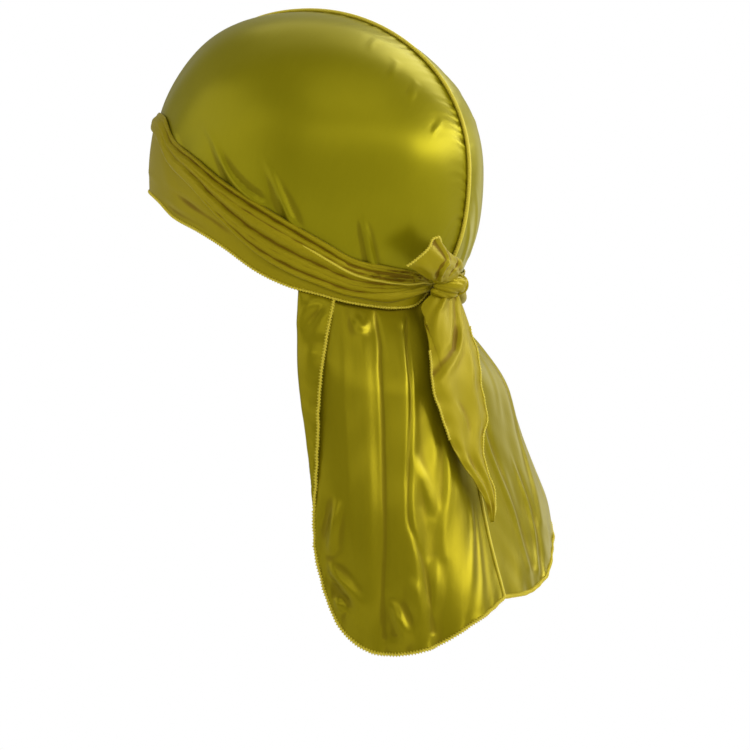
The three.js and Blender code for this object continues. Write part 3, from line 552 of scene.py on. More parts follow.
@dataclass
class Cloth:
    """Sheet of cloth as a grid of points in millimetres, its outside away from inside."""

    points: Array
    inside: tuple[float, float, float] = HEAD_MIDDLE
    turn: float = field(init=False)
    BLUR_ROUNDS = 10
    HOLLOW_DEPTH = 0.26

    def __post_init__(self) -> None:
        """Finds on which side the outside lies."""
        self.turn = 1.0
        outward = self.points - np.array(self.inside)
        self.turn = float(np.sign((self.normals() * outward).sum(-1).mean()))

    def normals(self) -> Array:
        """Returns the outward normals of the grid."""
        along = np.gradient(self.points, axis=0)
        down = np.gradient(self.points, axis=1)
        return self.turn * unit(np.cross(along, down))

    def lift(self, amount: Array) -> None:
        """Moves the points out along their normals."""
        self.points = self.points + self.normals() * np.asarray(amount)[..., None]

    def fold(self, strokes: Sequence[Stroke], onto: Onto) -> None:
        """Lays tension folds into the sheet."""
        normals = self.normals()
        amount = sum((stroke.lift(self.points, normals, onto) for stroke in strokes), np.zeros(1))
        self.points = self.points + normals * np.broadcast_to(amount, normals.shape[:2])[..., None]

    def settle(self, layers: Sequence[tuple[Sequence[Stroke], Onto]], share: Array) -> None:
        """Lays layers of folds into the sheet and keeps a share of them at each point."""
        plain = self.points
        for strokes, onto in layers:
            self.fold(strokes, onto)
        self.points = mixed(plain, self.points, share[..., None])

    def lengths(self) -> tuple[Array, Array]:
        """Returns the running lengths across and down the sheet."""
        across = np.linalg.norm(np.diff(self.points, axis=0, prepend=self.points[:1]), axis=-1)
        down = np.linalg.norm(np.diff(self.points, axis=1, prepend=self.points[:, :1]), axis=-1)
        return across.cumsum(0), down.cumsum(1)

    def hollows(self) -> Array:
        """Returns how deep each point lies in a fold: 0 on open cloth, 1 in a crease. The satin paints shade
        into the creases by it.
        """
        soft = self.points
        for _ in range(self.BLUR_ROUNDS):
            for axis in (0, 1):
                pad = [(0, 0)] * 3
                pad[axis] = (1, 1)
                wide = np.pad(soft, pad, mode="reflect", reflect_type="odd")
                before = np.take(wide, range(soft.shape[axis]), axis)
                after = np.take(wide, range(2, soft.shape[axis] + 2), axis)
                soft = (before + 2 * soft + after) / 4
        depth = ((soft - self.points) * self.normals()).sum(-1)
        return np.clip(0.5 + depth / self.HOLLOW_DEPTH / 2, 0, 1)

    def border(self, edge: Edge, start: float = 0.0, stop: float = 1.0) -> tuple[Array, Array]:
        """Returns the points and normals along a border, between two shares of it."""
        line, out = self.points[edge.value], self.normals()[edge.value]
        first, last = round(start * (len(line) - 1)), round(stop * (len(line) - 1)) + 1
        return line[first:last], out[first:last]

    def trace(self, across: Array, down: Array) -> tuple[Array, Array]:
        """Returns points and normals at shares across and down the grid."""
        columns, rows = self.points.shape[:2]
        i, j = across * (columns - 1), down * (rows - 1)
        low_i = np.clip(i.astype(int), 0, columns - 2)
        low_j = np.clip(j.astype(int), 0, rows - 2)
        a, b = (i - low_i)[:, None], (j - low_j)[:, None]

        def blended(grid: Array) -> Array:
            """Returns the grid's value between its points."""
            low = mixed(grid[low_i, low_j], grid[low_i + 1, low_j], a)
            return mixed(low, mixed(grid[low_i, low_j + 1], grid[low_i + 1, low_j + 1], a), b)

        return blended(self.points), unit(blended(self.normals()))

    def build(self, name: str, wall: float, finish: bpy.types.Material) -> bpy.types.Object:
        """Makes the closed thin sheet, with its cloth map and its hollow attribute, by which the satin paints
        shade into the folds.

        Args:
            name: Name of the piece.
            wall: Thickness of the cloth.
            finish: Material of the cloth.

        Returns:
            The finished object.
        """
        columns, rows = self.points.shape[:2]
        outside = self.points
        inside = outside - self.normals() * wall
        vertices = np.concatenate([outside.reshape(-1, 3), inside.reshape(-1, 3)]) * MM
        number = np.arange(2 * columns * rows).reshape(2, columns, rows)
        out, back = number[0], number[1]

        def quads(*corners: Array) -> Array:
            """Returns faces from four arrays of corners."""
            return np.stack([corner.ravel() for corner in corners], 1)

        faces = np.concatenate([
            quads(out[:-1, :-1], out[1:, :-1], out[1:, 1:], out[:-1, 1:]),
            quads(back[:-1, 1:], back[1:, 1:], back[1:, :-1], back[:-1, :-1]),
            quads(back[:-1, 0], back[1:, 0], out[1:, 0], out[:-1, 0]),
            quads(out[:-1, -1], out[1:, -1], back[1:, -1], back[:-1, -1]),
            quads(out[0, :-1], out[0, 1:], back[0, 1:], back[0, :-1]),
            quads(back[-1, :-1], back[-1, 1:], out[-1, 1:], out[-1, :-1]),
        ])
        if self.turn < 0:
            faces = faces[:, ::-1]
        mesh = bpy.data.meshes.new(name)
        mesh.from_pydata(vertices.tolist(), [], faces.tolist())
        mesh.polygons.foreach_set("use_smooth", np.ones(len(faces), bool))
        across, down = self.lengths()
        flat = np.tile(np.stack([across, down], -1).reshape(-1, 2) * MM, (2, 1))
        corner = np.zeros(len(mesh.loops), np.int32)
        mesh.loops.foreach_get("vertex_index", corner)
        layer = mesh.uv_layers.new(name="cloth")
        layer.data.foreach_set("uv", flat[corner].astype(np.float32).ravel())
        # Mask of the painted shade in the folds; the inside faces take the opposite.
        hollow = self.hollows()
        both = np.concatenate([hollow.ravel(), 1 - hollow.ravel()]).astype(np.float32)
        mesh.attributes.new("hollow", "FLOAT", "POINT").data.foreach_set("value", both)
        mesh.materials.append(finish)
        return placed(name, mesh)


def placed(name: str, data: bpy.types.ID) -> bpy.types.Object:
    """Puts a mesh, a light or the camera into the scene as an object at the origin."""
    piece = bpy.data.objects.new(name, data)
    bpy.context.scene.collection.objects.link(piece)
    return piece


class Signal:
    """Number in a shader tree. Arithmetic on it adds Math nodes."""

    def __init__(self, tree: NodeTree, socket: bpy.types.NodeSocket) -> None:
        """Keeps the tree and the socket that the number comes from."""
        self.tree = tree
        self.socket = socket

    def _math(self, operation: str, first: Signal | float, second: Signal | float) -> Signal:
        """Returns a Math node's result."""
        return self.tree.number("ShaderNodeMath", {0: first, 1: second}, operation=operation)

    def __add__(self, other: Signal | float) -> Signal:
        """Returns the sum."""
        return self._math("ADD", self, other)

    def __sub__(self, other: Signal | float) -> Signal:
        """Returns the difference."""
        return self._math("SUBTRACT", self, other)

    def __rsub__(self, other: float) -> Signal:
        """Returns the difference from a value."""
        return self._math("SUBTRACT", other, self)

    def __mul__(self, other: Signal | float) -> Signal:
        """Returns the product."""
        return self._math("MULTIPLY", self, other)

    __radd__ = __add__
    __rmul__ = __mul__


class NodeTree:
    """Node tree of a finish, of the room or of the sewing."""

    def __init__(self, tree: bpy.types.NodeTree) -> None:
        """Keeps a tree and empties it."""
        self.tree = tree
        tree.nodes.clear()

    def node(self, kind: str, inputs: dict | None = None, **settings: object) -> bpy.types.Node:
        """Adds a node.

        Args:
            kind: Type of the node.
            inputs: Values or links by socket name or number. A list holds several links.
            **settings: Its own properties, set before its sockets.

        Returns:
            The node.
        """
        node = self.tree.nodes.new(kind)
        for key, value in settings.items():
            setattr(node, key, value)
        for key, value in (inputs or {}).items():
            for given in value if isinstance(value, list) else [value]:
                source = given.socket if isinstance(given, Signal) else given
                if isinstance(source, bpy.types.NodeSocket):
                    self.tree.links.new(source, node.inputs[key])
                else:
                    node.inputs[key].default_value = source
        return node

    def out(
        self, kind: str, inputs: dict | None = None, output: int | str = 0, **settings: object
    ) -> bpy.types.NodeSocket:
        """Adds a node and returns one of its outputs."""
        return self.node(kind, inputs, **settings).outputs[output]

    def number(
        self, kind: str, inputs: dict | None = None, output: int | str = 0, **settings: object
    ) -> Signal:
        """Adds a node and returns one of its outputs as a number."""
        return Signal(self, self.out(kind, inputs, output, **settings))


class FinishTree(NodeTree):
    """Node tree of one material."""

    def __init__(self, name: str) -> None:
        """Starts an empty material."""
        self.material = bpy.data.materials.new(name)
        self.material.use_nodes = True
        super().__init__(self.material.node_tree)

    def place(self) -> bpy.types.NodeSocket:
        """Returns the place on the piece, in metres."""
        return self.out("ShaderNodeTexCoord", output="Object")

    def noise(self, vector: bpy.types.NodeSocket, scale: float, detail: float) -> Signal:
        """Returns soft noise over a vector."""
        return self.number("ShaderNodeTexNoise", {"Vector": vector, "Scale": scale, "Detail": detail})

    def step(self, value: Signal, low: float, high: float) -> Signal:
        """Returns a smooth step from 0 at low to 1 at high."""
        inputs = {"Value": value, "From Min": low, "From Max": high}
        return self.number("ShaderNodeMapRange", inputs, interpolation_type="SMOOTHSTEP")

    def blended(
        self, share: Signal, low: Sequence[float] | bpy.types.NodeSocket, high: Sequence[float]
    ) -> bpy.types.NodeSocket:
        """Returns the colour between two colours or links at a share."""
        return self.out("ShaderNodeMix", {0: share, 6: low, 7: high}, 2, data_type="RGBA")

    def scaled(self, vector: bpy.types.NodeSocket, scale: Sequence[float]) -> bpy.types.NodeSocket:
        """Returns a vector with each part scaled."""
        return self.out("ShaderNodeVectorMath", {0: vector, 1: scale}, operation="MULTIPLY")

    def relief(self, height: Signal, strength: float, distance: float) -> bpy.types.NodeSocket:
        """Returns the normal of a relief."""
        return self.out("ShaderNodeBump", {"Strength": strength, "Distance": distance, "Height": height})

    def closed(self, shader: bpy.types.NodeSocket) -> bpy.types.Material:
        """Gives the tree its output and returns the material."""
        self.node("ShaderNodeOutputMaterial", {"Surface": shader})
        return self.material


@dataclass(frozen=True)
class Satin:
    """Knit satin: a glossy face with a fine grain and streaks, and painted shade that darkens its folds.
    Sizes are in metres.
    """

    name: str
    body: Colour
    light: Colour
    # Colour that the creases are painted towards, as painted shade.
    crease_shade: Colour
    roughness: float = 0.34
    roughness_spread: float = 0.1
    crease_roughness: float = 0.12
    metallic: float = 0.46
    specular: float = 0.14
    specular_tint: Colour = (1.0, 0.98, 0.62)
    sheen: float = 0.05
    sheen_roughness: float = 0.35
    sheen_tint: Colour = (1.0, 0.97, 0.45)
    grain: float = 0.00055
    grain_stretch: float = 0.6
    streak: tuple[float, float] = (0.0016, 0.012)
    cloud: float = 0.03
    rib_grains: float = 20.0
    rib_distortion: float = 0.6
    bump: float = 0.00008
    bump_strength: float = 0.22
    # Share of the painted crease shade that the creases take on.
    crease: float = 0.5
    crease_hollows: tuple[float, float] = (0.52, 0.95)

    def build(self) -> bpy.types.Material:
        """Makes the material."""
        made = FinishTree(self.name)
        uv = made.out("ShaderNodeUVMap", uv_map="cloth")
        hollow = made.number("ShaderNodeAttribute", output="Fac", attribute_name="hollow")
        streak = made.noise(made.scaled(uv, (1 / self.streak[0], 1 / self.streak[1], 1)), 1.0, 3.0)
        grain = made.noise(made.scaled(uv, (1 / self.grain, self.grain_stretch / self.grain, 1)), 1.0, 1.0)
        cloud = made.noise(made.place(), 1 / self.cloud, 2.0)
        fine = 1 / self.grain / self.rib_grains
        rib = made.number(
            "ShaderNodeTexWave",
            {"Vector": made.scaled(uv, (fine, fine, 1)), "Scale": 1.0, "Distortion": self.rib_distortion,
             "Detail": 1.0},
            bands_direction="X",
        )
        # Painted shade: where the hollow attribute marks a crease, the colour is mixed towards the crease
        # shade colour; the same mask also roughens the creases.
        crease = made.step(hollow, *self.crease_hollows)
        speckle = 0.5 * cloud + 0.25 * streak + 0.25 * grain
        colour = made.blended(speckle, (*self.body, 1), (*self.light, 1))
        smoothest = self.roughness - self.roughness_spread / 2
        rough = smoothest + self.roughness_spread * (0.5 * streak + 0.5 * grain)
        relief = 0.5 * grain + 0.25 * streak + 0.25 * rib
        return made.closed(made.out("ShaderNodeBsdfPrincipled", {
            "Base Color": made.blended(self.crease * crease, colour, (*self.crease_shade, 1)),
            "Roughness": rough + self.crease_roughness * crease,
            "Metallic": self.metallic,
            "Specular IOR Level": self.specular,
            "Specular Tint": (*self.specular_tint, 1),
            "Sheen Weight": self.sheen,
            "Sheen Roughness": self.sheen_roughness,
            "Sheen Tint": (*self.sheen_tint, 1),
            "Normal": made.relief(relief, self.bump_strength, self.bump),
        }))


@dataclass(frozen=True)
class Thread:
    """Overlock thread: matt golden yarn with a twisted relief. Sizes are in metres."""

    name: str = "overlock_thread"
    body: Colour = (0.5, 0.4, 0.008)
    light: Colour = (0.66, 0.55, 0.03)
    roughness: float = 0.55
    roughness_spread: float = 0.1
    metallic: float = 0.15
    sheen: float = 0.2
    sheen_roughness: float = 0.4
    sheen_tint: Colour = (1.0, 0.9, 0.3)
    twist: float = 0.0006
    cloud: float = 45.0
    bump: float = 0.0001
    bump_strength: float = 0.4

    def build(self) -> bpy.types.Material:
        """Makes the material."""
        made = FinishTree(self.name)
        place = made.place()
        yarn = made.noise(place, 1 / self.twist, 2.0)
        speckle = 0.5 * yarn + 0.5 * made.noise(place, self.cloud, 1.0)
        return made.closed(made.out("ShaderNodeBsdfPrincipled", {
            "Base Color": made.blended(speckle, (*self.body, 1), (*self.light, 1)),
            "Roughness": self.roughness + self.roughness_spread * yarn,
            "Metallic": self.metallic,
            "Sheen Weight": self.sheen,
            "Sheen Roughness": self.sheen_roughness,
            "Sheen Tint": (*self.sheen_tint, 1),
            "Normal": made.relief(yarn, self.bump_strength, self.bump),
        }))


@dataclass(frozen=True)
class Finishes:
    """Materials that the pieces share."""

    crown: bpy.types.Material
    straps: bpy.types.Material
    knot: bpy.types.Material
    tail: bpy.types.Material
    thread: bpy.types.Material


@dataclass(frozen=True)
class Overlock:
    """Overlocked edge or seam: a soft core with slanted threads wound round it."""

    pitch: float = 1.3
    across: float = 2.6
    thread: float = 0.85
    height: float = 1.5
    core: float = 0.8
    slant: float = 24.0
    jitter: float = 6.0
    seed: int = 4
    SPHERE_SEGMENTS = 8
    SPHERE_RINGS = 6
    CORE_SIDES = 8
    INPUTS = {
        "Geometry": "NodeSocketGeometry", "Pitch": "NodeSocketFloat", "Thread Size": "NodeSocketVector",
        "Core Radius": "NodeSocketFloat", "Slant": "NodeSocketFloat", "Jitter": "NodeSocketFloat",
        "Seed": "NodeSocketInt", "Finish": "NodeSocketMaterial",
    }

    def tree(self) -> tuple[bpy.types.NodeTree, dict[str, str]]:
        """Builds the node tree.

        Returns:
            The tree and the identifier of each named input.
        """
        tree = bpy.data.node_groups.new("overlock", "GeometryNodeTree")
        sockets = {}
        for name, kind in self.INPUTS.items():
            item = tree.interface.new_socket(name, in_out="INPUT", socket_type=kind)
            sockets[name] = item.identifier
        tree.interface.new_socket("Geometry", in_out="OUTPUT", socket_type="NodeSocketGeometry")
        sewing = NodeTree(tree)
        out = sewing.out
        given = sewing.node("NodeGroupInput").outputs
        path = out("GeometryNodeMeshToCurve", {"Mesh": given["Geometry"]})
        even = out("GeometryNodeResampleCurve", {"Curve": path, "Length": given["Pitch"]}, mode="LENGTH")
        tangent = out("GeometryNodeInputTangent")
        outward = out("GeometryNodeInputNamedAttribute", {"Name": "outward"}, data_type="FLOAT_VECTOR")
        turned = out(
            "FunctionNodeAxesToRotation", {0: outward, 1: tangent}, primary_axis="Z", secondary_axis="X"
        )
        spread = out(
            "FunctionNodeRandomValue", {2: -1.0, 3: 1.0, "Seed": given["Seed"]}, 1, data_type="FLOAT"
        )
        swing = out(
            "ShaderNodeMath", {0: spread, 1: given["Jitter"], 2: given["Slant"]}, operation="MULTIPLY_ADD"
        )
        tilt = out("FunctionNodeEulerToRotation", {0: out("ShaderNodeCombineXYZ", {"Z": swing})})
        wound = out("FunctionNodeRotateRotation", {0: turned, 1: tilt}, rotation_space="LOCAL")
        bead = out(
            "GeometryNodeMeshUVSphere",
            {"Segments": self.SPHERE_SEGMENTS, "Rings": self.SPHERE_RINGS, "Radius": 0.5},
        )
        threads = out(
            "GeometryNodeInstanceOnPoints",
            {"Points": even, "Instance": bead, "Rotation": wound, "Scale": given["Thread Size"]},
        )
        ring = out(
            "GeometryNodeCurvePrimitiveCircle",
            {"Resolution": self.CORE_SIDES, "Radius": given["Core Radius"]},
        )
        core = out("GeometryNodeCurveToMesh", {"Curve": even, "Profile Curve": ring, "Fill Caps": True})
        joined = out("GeometryNodeJoinGeometry", {0: [threads, core]})
        plain = out("GeometryNodeRealizeInstances", {"Geometry": joined})
        smooth = out("GeometryNodeSetShadeSmooth", {"Geometry": plain})
        dressed = out("GeometryNodeSetMaterial", {"Geometry": smooth, "Material": given["Finish"]})
        sewing.node("NodeGroupOutput", {"Geometry": dressed})
        return tree, sockets

    def run(
        self, name: str, lines: Sequence[tuple[Array, Array]], finish: bpy.types.Material
    ) -> bpy.types.Object:
        """Sews along lines.

        Args:
            name: Name of the piece.
            lines: Points and outward normals of each line, in millimetres.
            finish: Material of the thread.

        Returns:
            The sewn piece as a plain mesh.
        """
        mesh = bpy.data.meshes.new(name + "_lines")
        points = np.concatenate([line for line, _ in lines]) * MM
        outward = np.concatenate([out for _, out in lines])
        edges, start = [], 0
        for line, _ in lines:
            edges += [(start + i, start + i + 1) for i in range(len(line) - 1)]
            start += len(line)
        mesh.from_pydata(points.tolist(), edges, [])
        attribute = mesh.attributes.new("outward", "FLOAT_VECTOR", "POINT")
        attribute.data.foreach_set("vector", outward.astype(np.float32).ravel())
        draft = placed(name + "_lines", mesh)
        tree, sockets = self.tree()
        modifier = draft.modifiers.new("overlock", "NODES")
        modifier.node_group = tree
        values = {
            "Pitch": self.pitch * MM,
            "Thread Size": [self.thread * MM, self.across * MM, self.height * MM],
            "Core Radius": self.core * MM,
            "Slant": math.radians(self.slant),
            "Jitter": math.radians(self.jitter),
            "Seed": self.seed,
            "Finish": finish,
        }
        for key, value in values.items():
            modifier[sockets[key]] = value
        draft.update_tag()
        bpy.context.view_layer.update()
        graph = bpy.context.evaluated_depsgraph_get()
        sewn = bpy.data.meshes.new_from_object(draft.evaluated_get(graph))
        draft.modifiers.clear()
        bpy.data.objects.remove(draft)
        sewn.name = name
        return placed(name, sewn)


@dataclass
class Piece:
    """Finished piece, what it stands for and what it says of its cloth."""

    body: bpy.types.Object
    nodes: tuple[str, ...] = ()
    slot: str = "satin"
    flat: tuple[float, float] | None = None
    share: float = 1.0
    held: Held = Held.HUNG
    rests_on: tuple[str, ...] = ()
    trims: tuple[bpy.types.Object, ...] = ()

    def mount(self) -> None:
        """Lets the piece and its trims ride on the body, hides the nodes that it stands for and logs its
        size.
        """
        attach(self.body, "root")
        if self.nodes:
            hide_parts(*self.nodes)
        for trim in self.trims:
            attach(trim, "root")
        if self.flat:
            list(self.rests_on)
            self.share * self.flat[0] * self.flat[1]
            list(self.trims)
        area = sum(face.area for face in self.body.data.polygons) / 2
        LOG.info("%s: %d faces, %.4f square metres", self.body.name, len(self.body.data.polygons), area)


def satin_piece(
    cloth: Cloth, node: str, wall: float, finish: bpy.types.Material, **declared: object
) -> Piece:
    """Returns a sheet as the piece that stands for a node.

    Args:
        cloth: The sheet.
        node: Node that it stands for.
        wall: Thickness of the cloth.
        finish: Material of the cloth.
        **declared: What else the piece says of itself.
    """
    return Piece(cloth.build(node + "_satin", wall, finish), (node,), **declared)


@dataclass
class Crown:
    """Two crown panels with their raised centre seam."""

    columns: int = 290
    rows: int = 160
    wall: float = 0.5
    lift: float = 1.2
    end_bearing: float = 2.5
    seam_rise: float = 0.5
    seam_reach: float = 4.0
    pucker: Ripple = Ripple(0.32, 7.0, 11, 0.35)
    pucker_reach: float = 9.0
    swell: Ripple = Ripple(0.25, 55.0, 16, 0.6)
    swell_start: tuple[float, float] = (5.0, 30.0)
    dent: float = 1.4
    dent_place: tuple[float, float] = (42.0, 58.0)
    dent_reach: float = 20.0
    hidden_depths: tuple[float, float] = (1.0, 5.0)
    hidden_share: float = 0.8
    seam_top: float = 2.6
    seam_stop: float = 1.5
    seam_points: int = 240
    flat: tuple[float, float] = (0.3, 0.14)
    flat_share: float = 0.85
    strokes: tuple[Stroke, ...] = (
        Stroke(((73, 28), (80.3, 15.7), (87.9, -4.3), (93.5, -13), (99, -19)), 2.6, 1.9, 0.25, 1, 0.7),
        Stroke(((79.5, 14), (86, 1), (92, -9.5), (97, -16)), 2.0, 1.2, 0.2, -1, 0.7),
        Stroke(((99.5, 7), (102.5, -2.3), (104.9, -10.3), (107, -18.8), (111, -31)), 2.4, 1.6, 0.25, 1, 0.7),
        Stroke(((106.4, -12), (107.7, -18.8), (109.6, -27)), 2.0, 1.2, 0.2, 1, 0.5),
        Stroke(((133.4, -23), (135.3, -31.8), (137.8, -41), (141.5, -53)), 2.2, 1.7, 0.25, 1, 0.5),
        Stroke(((56, 24), (61.3, 17.3), (66, 9)), 2.2, 0.9, 0.2, 1, 0.6),
        Stroke(((148.1, 45), (153, 51), (158.5, 57)), 2.0, 0.51, 0.3, -1, 0.5, 0.5),
        Stroke(((153.5, 34), (157.5, 39.5), (162, 45)), 2.0, 0.55, 0.3, -1, 0.5, 0.5),
        Stroke(((160.5, 16.5), (163.5, 20.5), (167, 24.5)), 1.8, 0.41, 0.3, -1, 0.5, 0.5),
        Stroke(((146, 62), (152, 67), (160, 71)), 2.0, 0.35, 0.3, -1, 0.5, 0.5),
        Stroke(((120, 2), (124, -18), (127, -40), (128, -47)), 8.1, 0.28, 0.5, 1, 0.8),
        Stroke(((150, 4), (152, -20), (156, -44), (157, -53)), 6.8, 0.33, 0.5, -1, 0.8),
    )
    right_strokes: tuple[Stroke, ...] = (
        Stroke(((-70, 25), (-79, 12), (-88, -7), (-96, -17)), 3.8, 1.17, 0.3, -1, 0.7),
        Stroke(((-97, 4), (-103, -9), (-109, -28)), 3.2, 0.90, 0.3, -1, 0.7),
        Stroke(((-127, -20), (-131, -36), (-134, -49)), 2.7, 0.83, 0.3, -1, 0.6),
        Stroke(((-149, 40), (-154, 46), (-160, 52)), 2.0, 0.49, 0.3, 1, 0.5, 0.5),
        Stroke(((-156, 24), (-160, 29), (-164.5, 34)), 1.9, 0.49, 0.3, 1, 0.5, 0.5),
        Stroke(((-176, -22), (-171, -34), (-166, -48)), 2.7, 0.69, 0.3, 1, 0.6),
        Stroke(((-174, -6), (-166, -22), (-158, -44)), 3.2, 0.62, 0.3, 1, 0.6),
        Stroke(((-60, 22), (-65, 14), (-70, 4)), 2.4, 0.50, 0.5, -1, 0.6),
    )

    def seam_turns(self, low_front: float, low_back: float) -> tuple[float, float]:
        """Returns the angles at which the centre line starts and stops."""
        front, back = HEAD.direction(0.0, low_front), HEAD.direction(180.0, low_back)
        turn = math.atan2(back[2], -back[1])
        return math.atan2(front[2], -front[1]), turn + (2 * math.pi if turn < 0 else 0)

    def panel(self, side: Side) -> Cloth:
        """Returns one panel with its folds."""
        u, v = spread_grid(self.columns, self.rows)
        first, last = self.seam_turns(*(float(WRAPS.crown(at)) for at in (0.0, 180.0)))
        turn = mixed(first, last, u)
        share = np.full_like(u, PANEL_GAP / HEAD.width)
        seam = unit(np.stack([share, -np.cos(turn), np.sin(turn)], -1))
        bearing = mixed(self.end_bearing, 180 - self.end_bearing, u)
        edge = HEAD.direction(bearing, WRAPS.crown(bearing))
        arc = np.arccos(np.clip((seam * edge).sum(-1), -1, 1))[..., None]
        down = v[..., None]
        way = unit((np.sin((1 - down) * arc) * seam + np.sin(down * arc) * edge) / np.sin(arc))
        way[..., 0] *= side.value
        cloth = Cloth(HEAD.over(way, self.lift))
        along, off = cloth.lengths()
        other = 0 if side is Side.LEFT else 1
        rise = self.seam_rise * np.exp(-((off / self.seam_reach) ** 2))
        gather = self.pucker.at(along, off, other) * np.exp(-off / self.pucker_reach)
        cloth.lift(rise + gather + self.swell.at(off, along, other) * ease(off, *self.swell_start))
        dent = HEAD.laid(side.value * self.dent_place[0], self.dent_place[1], self.lift)
        gap = np.linalg.norm(cloth.points - dent, axis=-1)
        cloth.lift(-self.dent * np.exp(-((gap / self.dent_reach) ** 2)))
        turned, level = HEAD.place(way)
        hidden = ease(WRAPS.read(WRAPS.top, turned) - level, *self.hidden_depths)
        strokes = self.strokes if side is Side.LEFT else self.right_strokes
        cloth.settle([(strokes, partial(HEAD.laid, lift=self.lift))], 1 - self.hidden_share * hidden)
        return cloth

    def seam_line(self) -> tuple[Array, Array]:
        """Returns the centre line over the crown and its outward normals."""
        front = float(WRAPS.read(WRAPS.top, 0.0)) + self.seam_stop
        turn = np.linspace(*self.seam_turns(front, float(WRAPS.crown(180.0))), self.seam_points)
        way = np.stack([np.zeros_like(turn), -np.cos(turn), np.sin(turn)], -1)
        low, high = (HEAD.over(way, lift) for lift in (self.seam_top, self.seam_top + 1))
        return low, high - low

    def build(self, finishes: Finishes) -> list[Piece]:
        """Returns both panels and the seam."""
        pieces = [
            satin_piece(
                self.panel(side), node, self.wall, finishes.crown, flat=self.flat, share=self.flat_share,
                held=Held.STRETCHED, rests_on=("brow_band_satin",),
            )
            for side, node in ((Side.LEFT, "crown_left"), (Side.RIGHT, "crown_right"))
        ]
        seam = Overlock(across=3.9, height=1.7, core=1.15, thread=0.95, pitch=1.35, slant=28)
        body = seam.run("centre_seam_overlock", [self.seam_line()], finishes.thread)
        return [*pieces, Piece(body, ("centre_seam",), "overlock")]


@dataclass(frozen=True)
class PleatLine:
    """Valley between two lengthwise folds: its places over the wrap's height and its depths."""

    places: tuple[float, ...]
    depths: tuple[float, ...]
    width: float


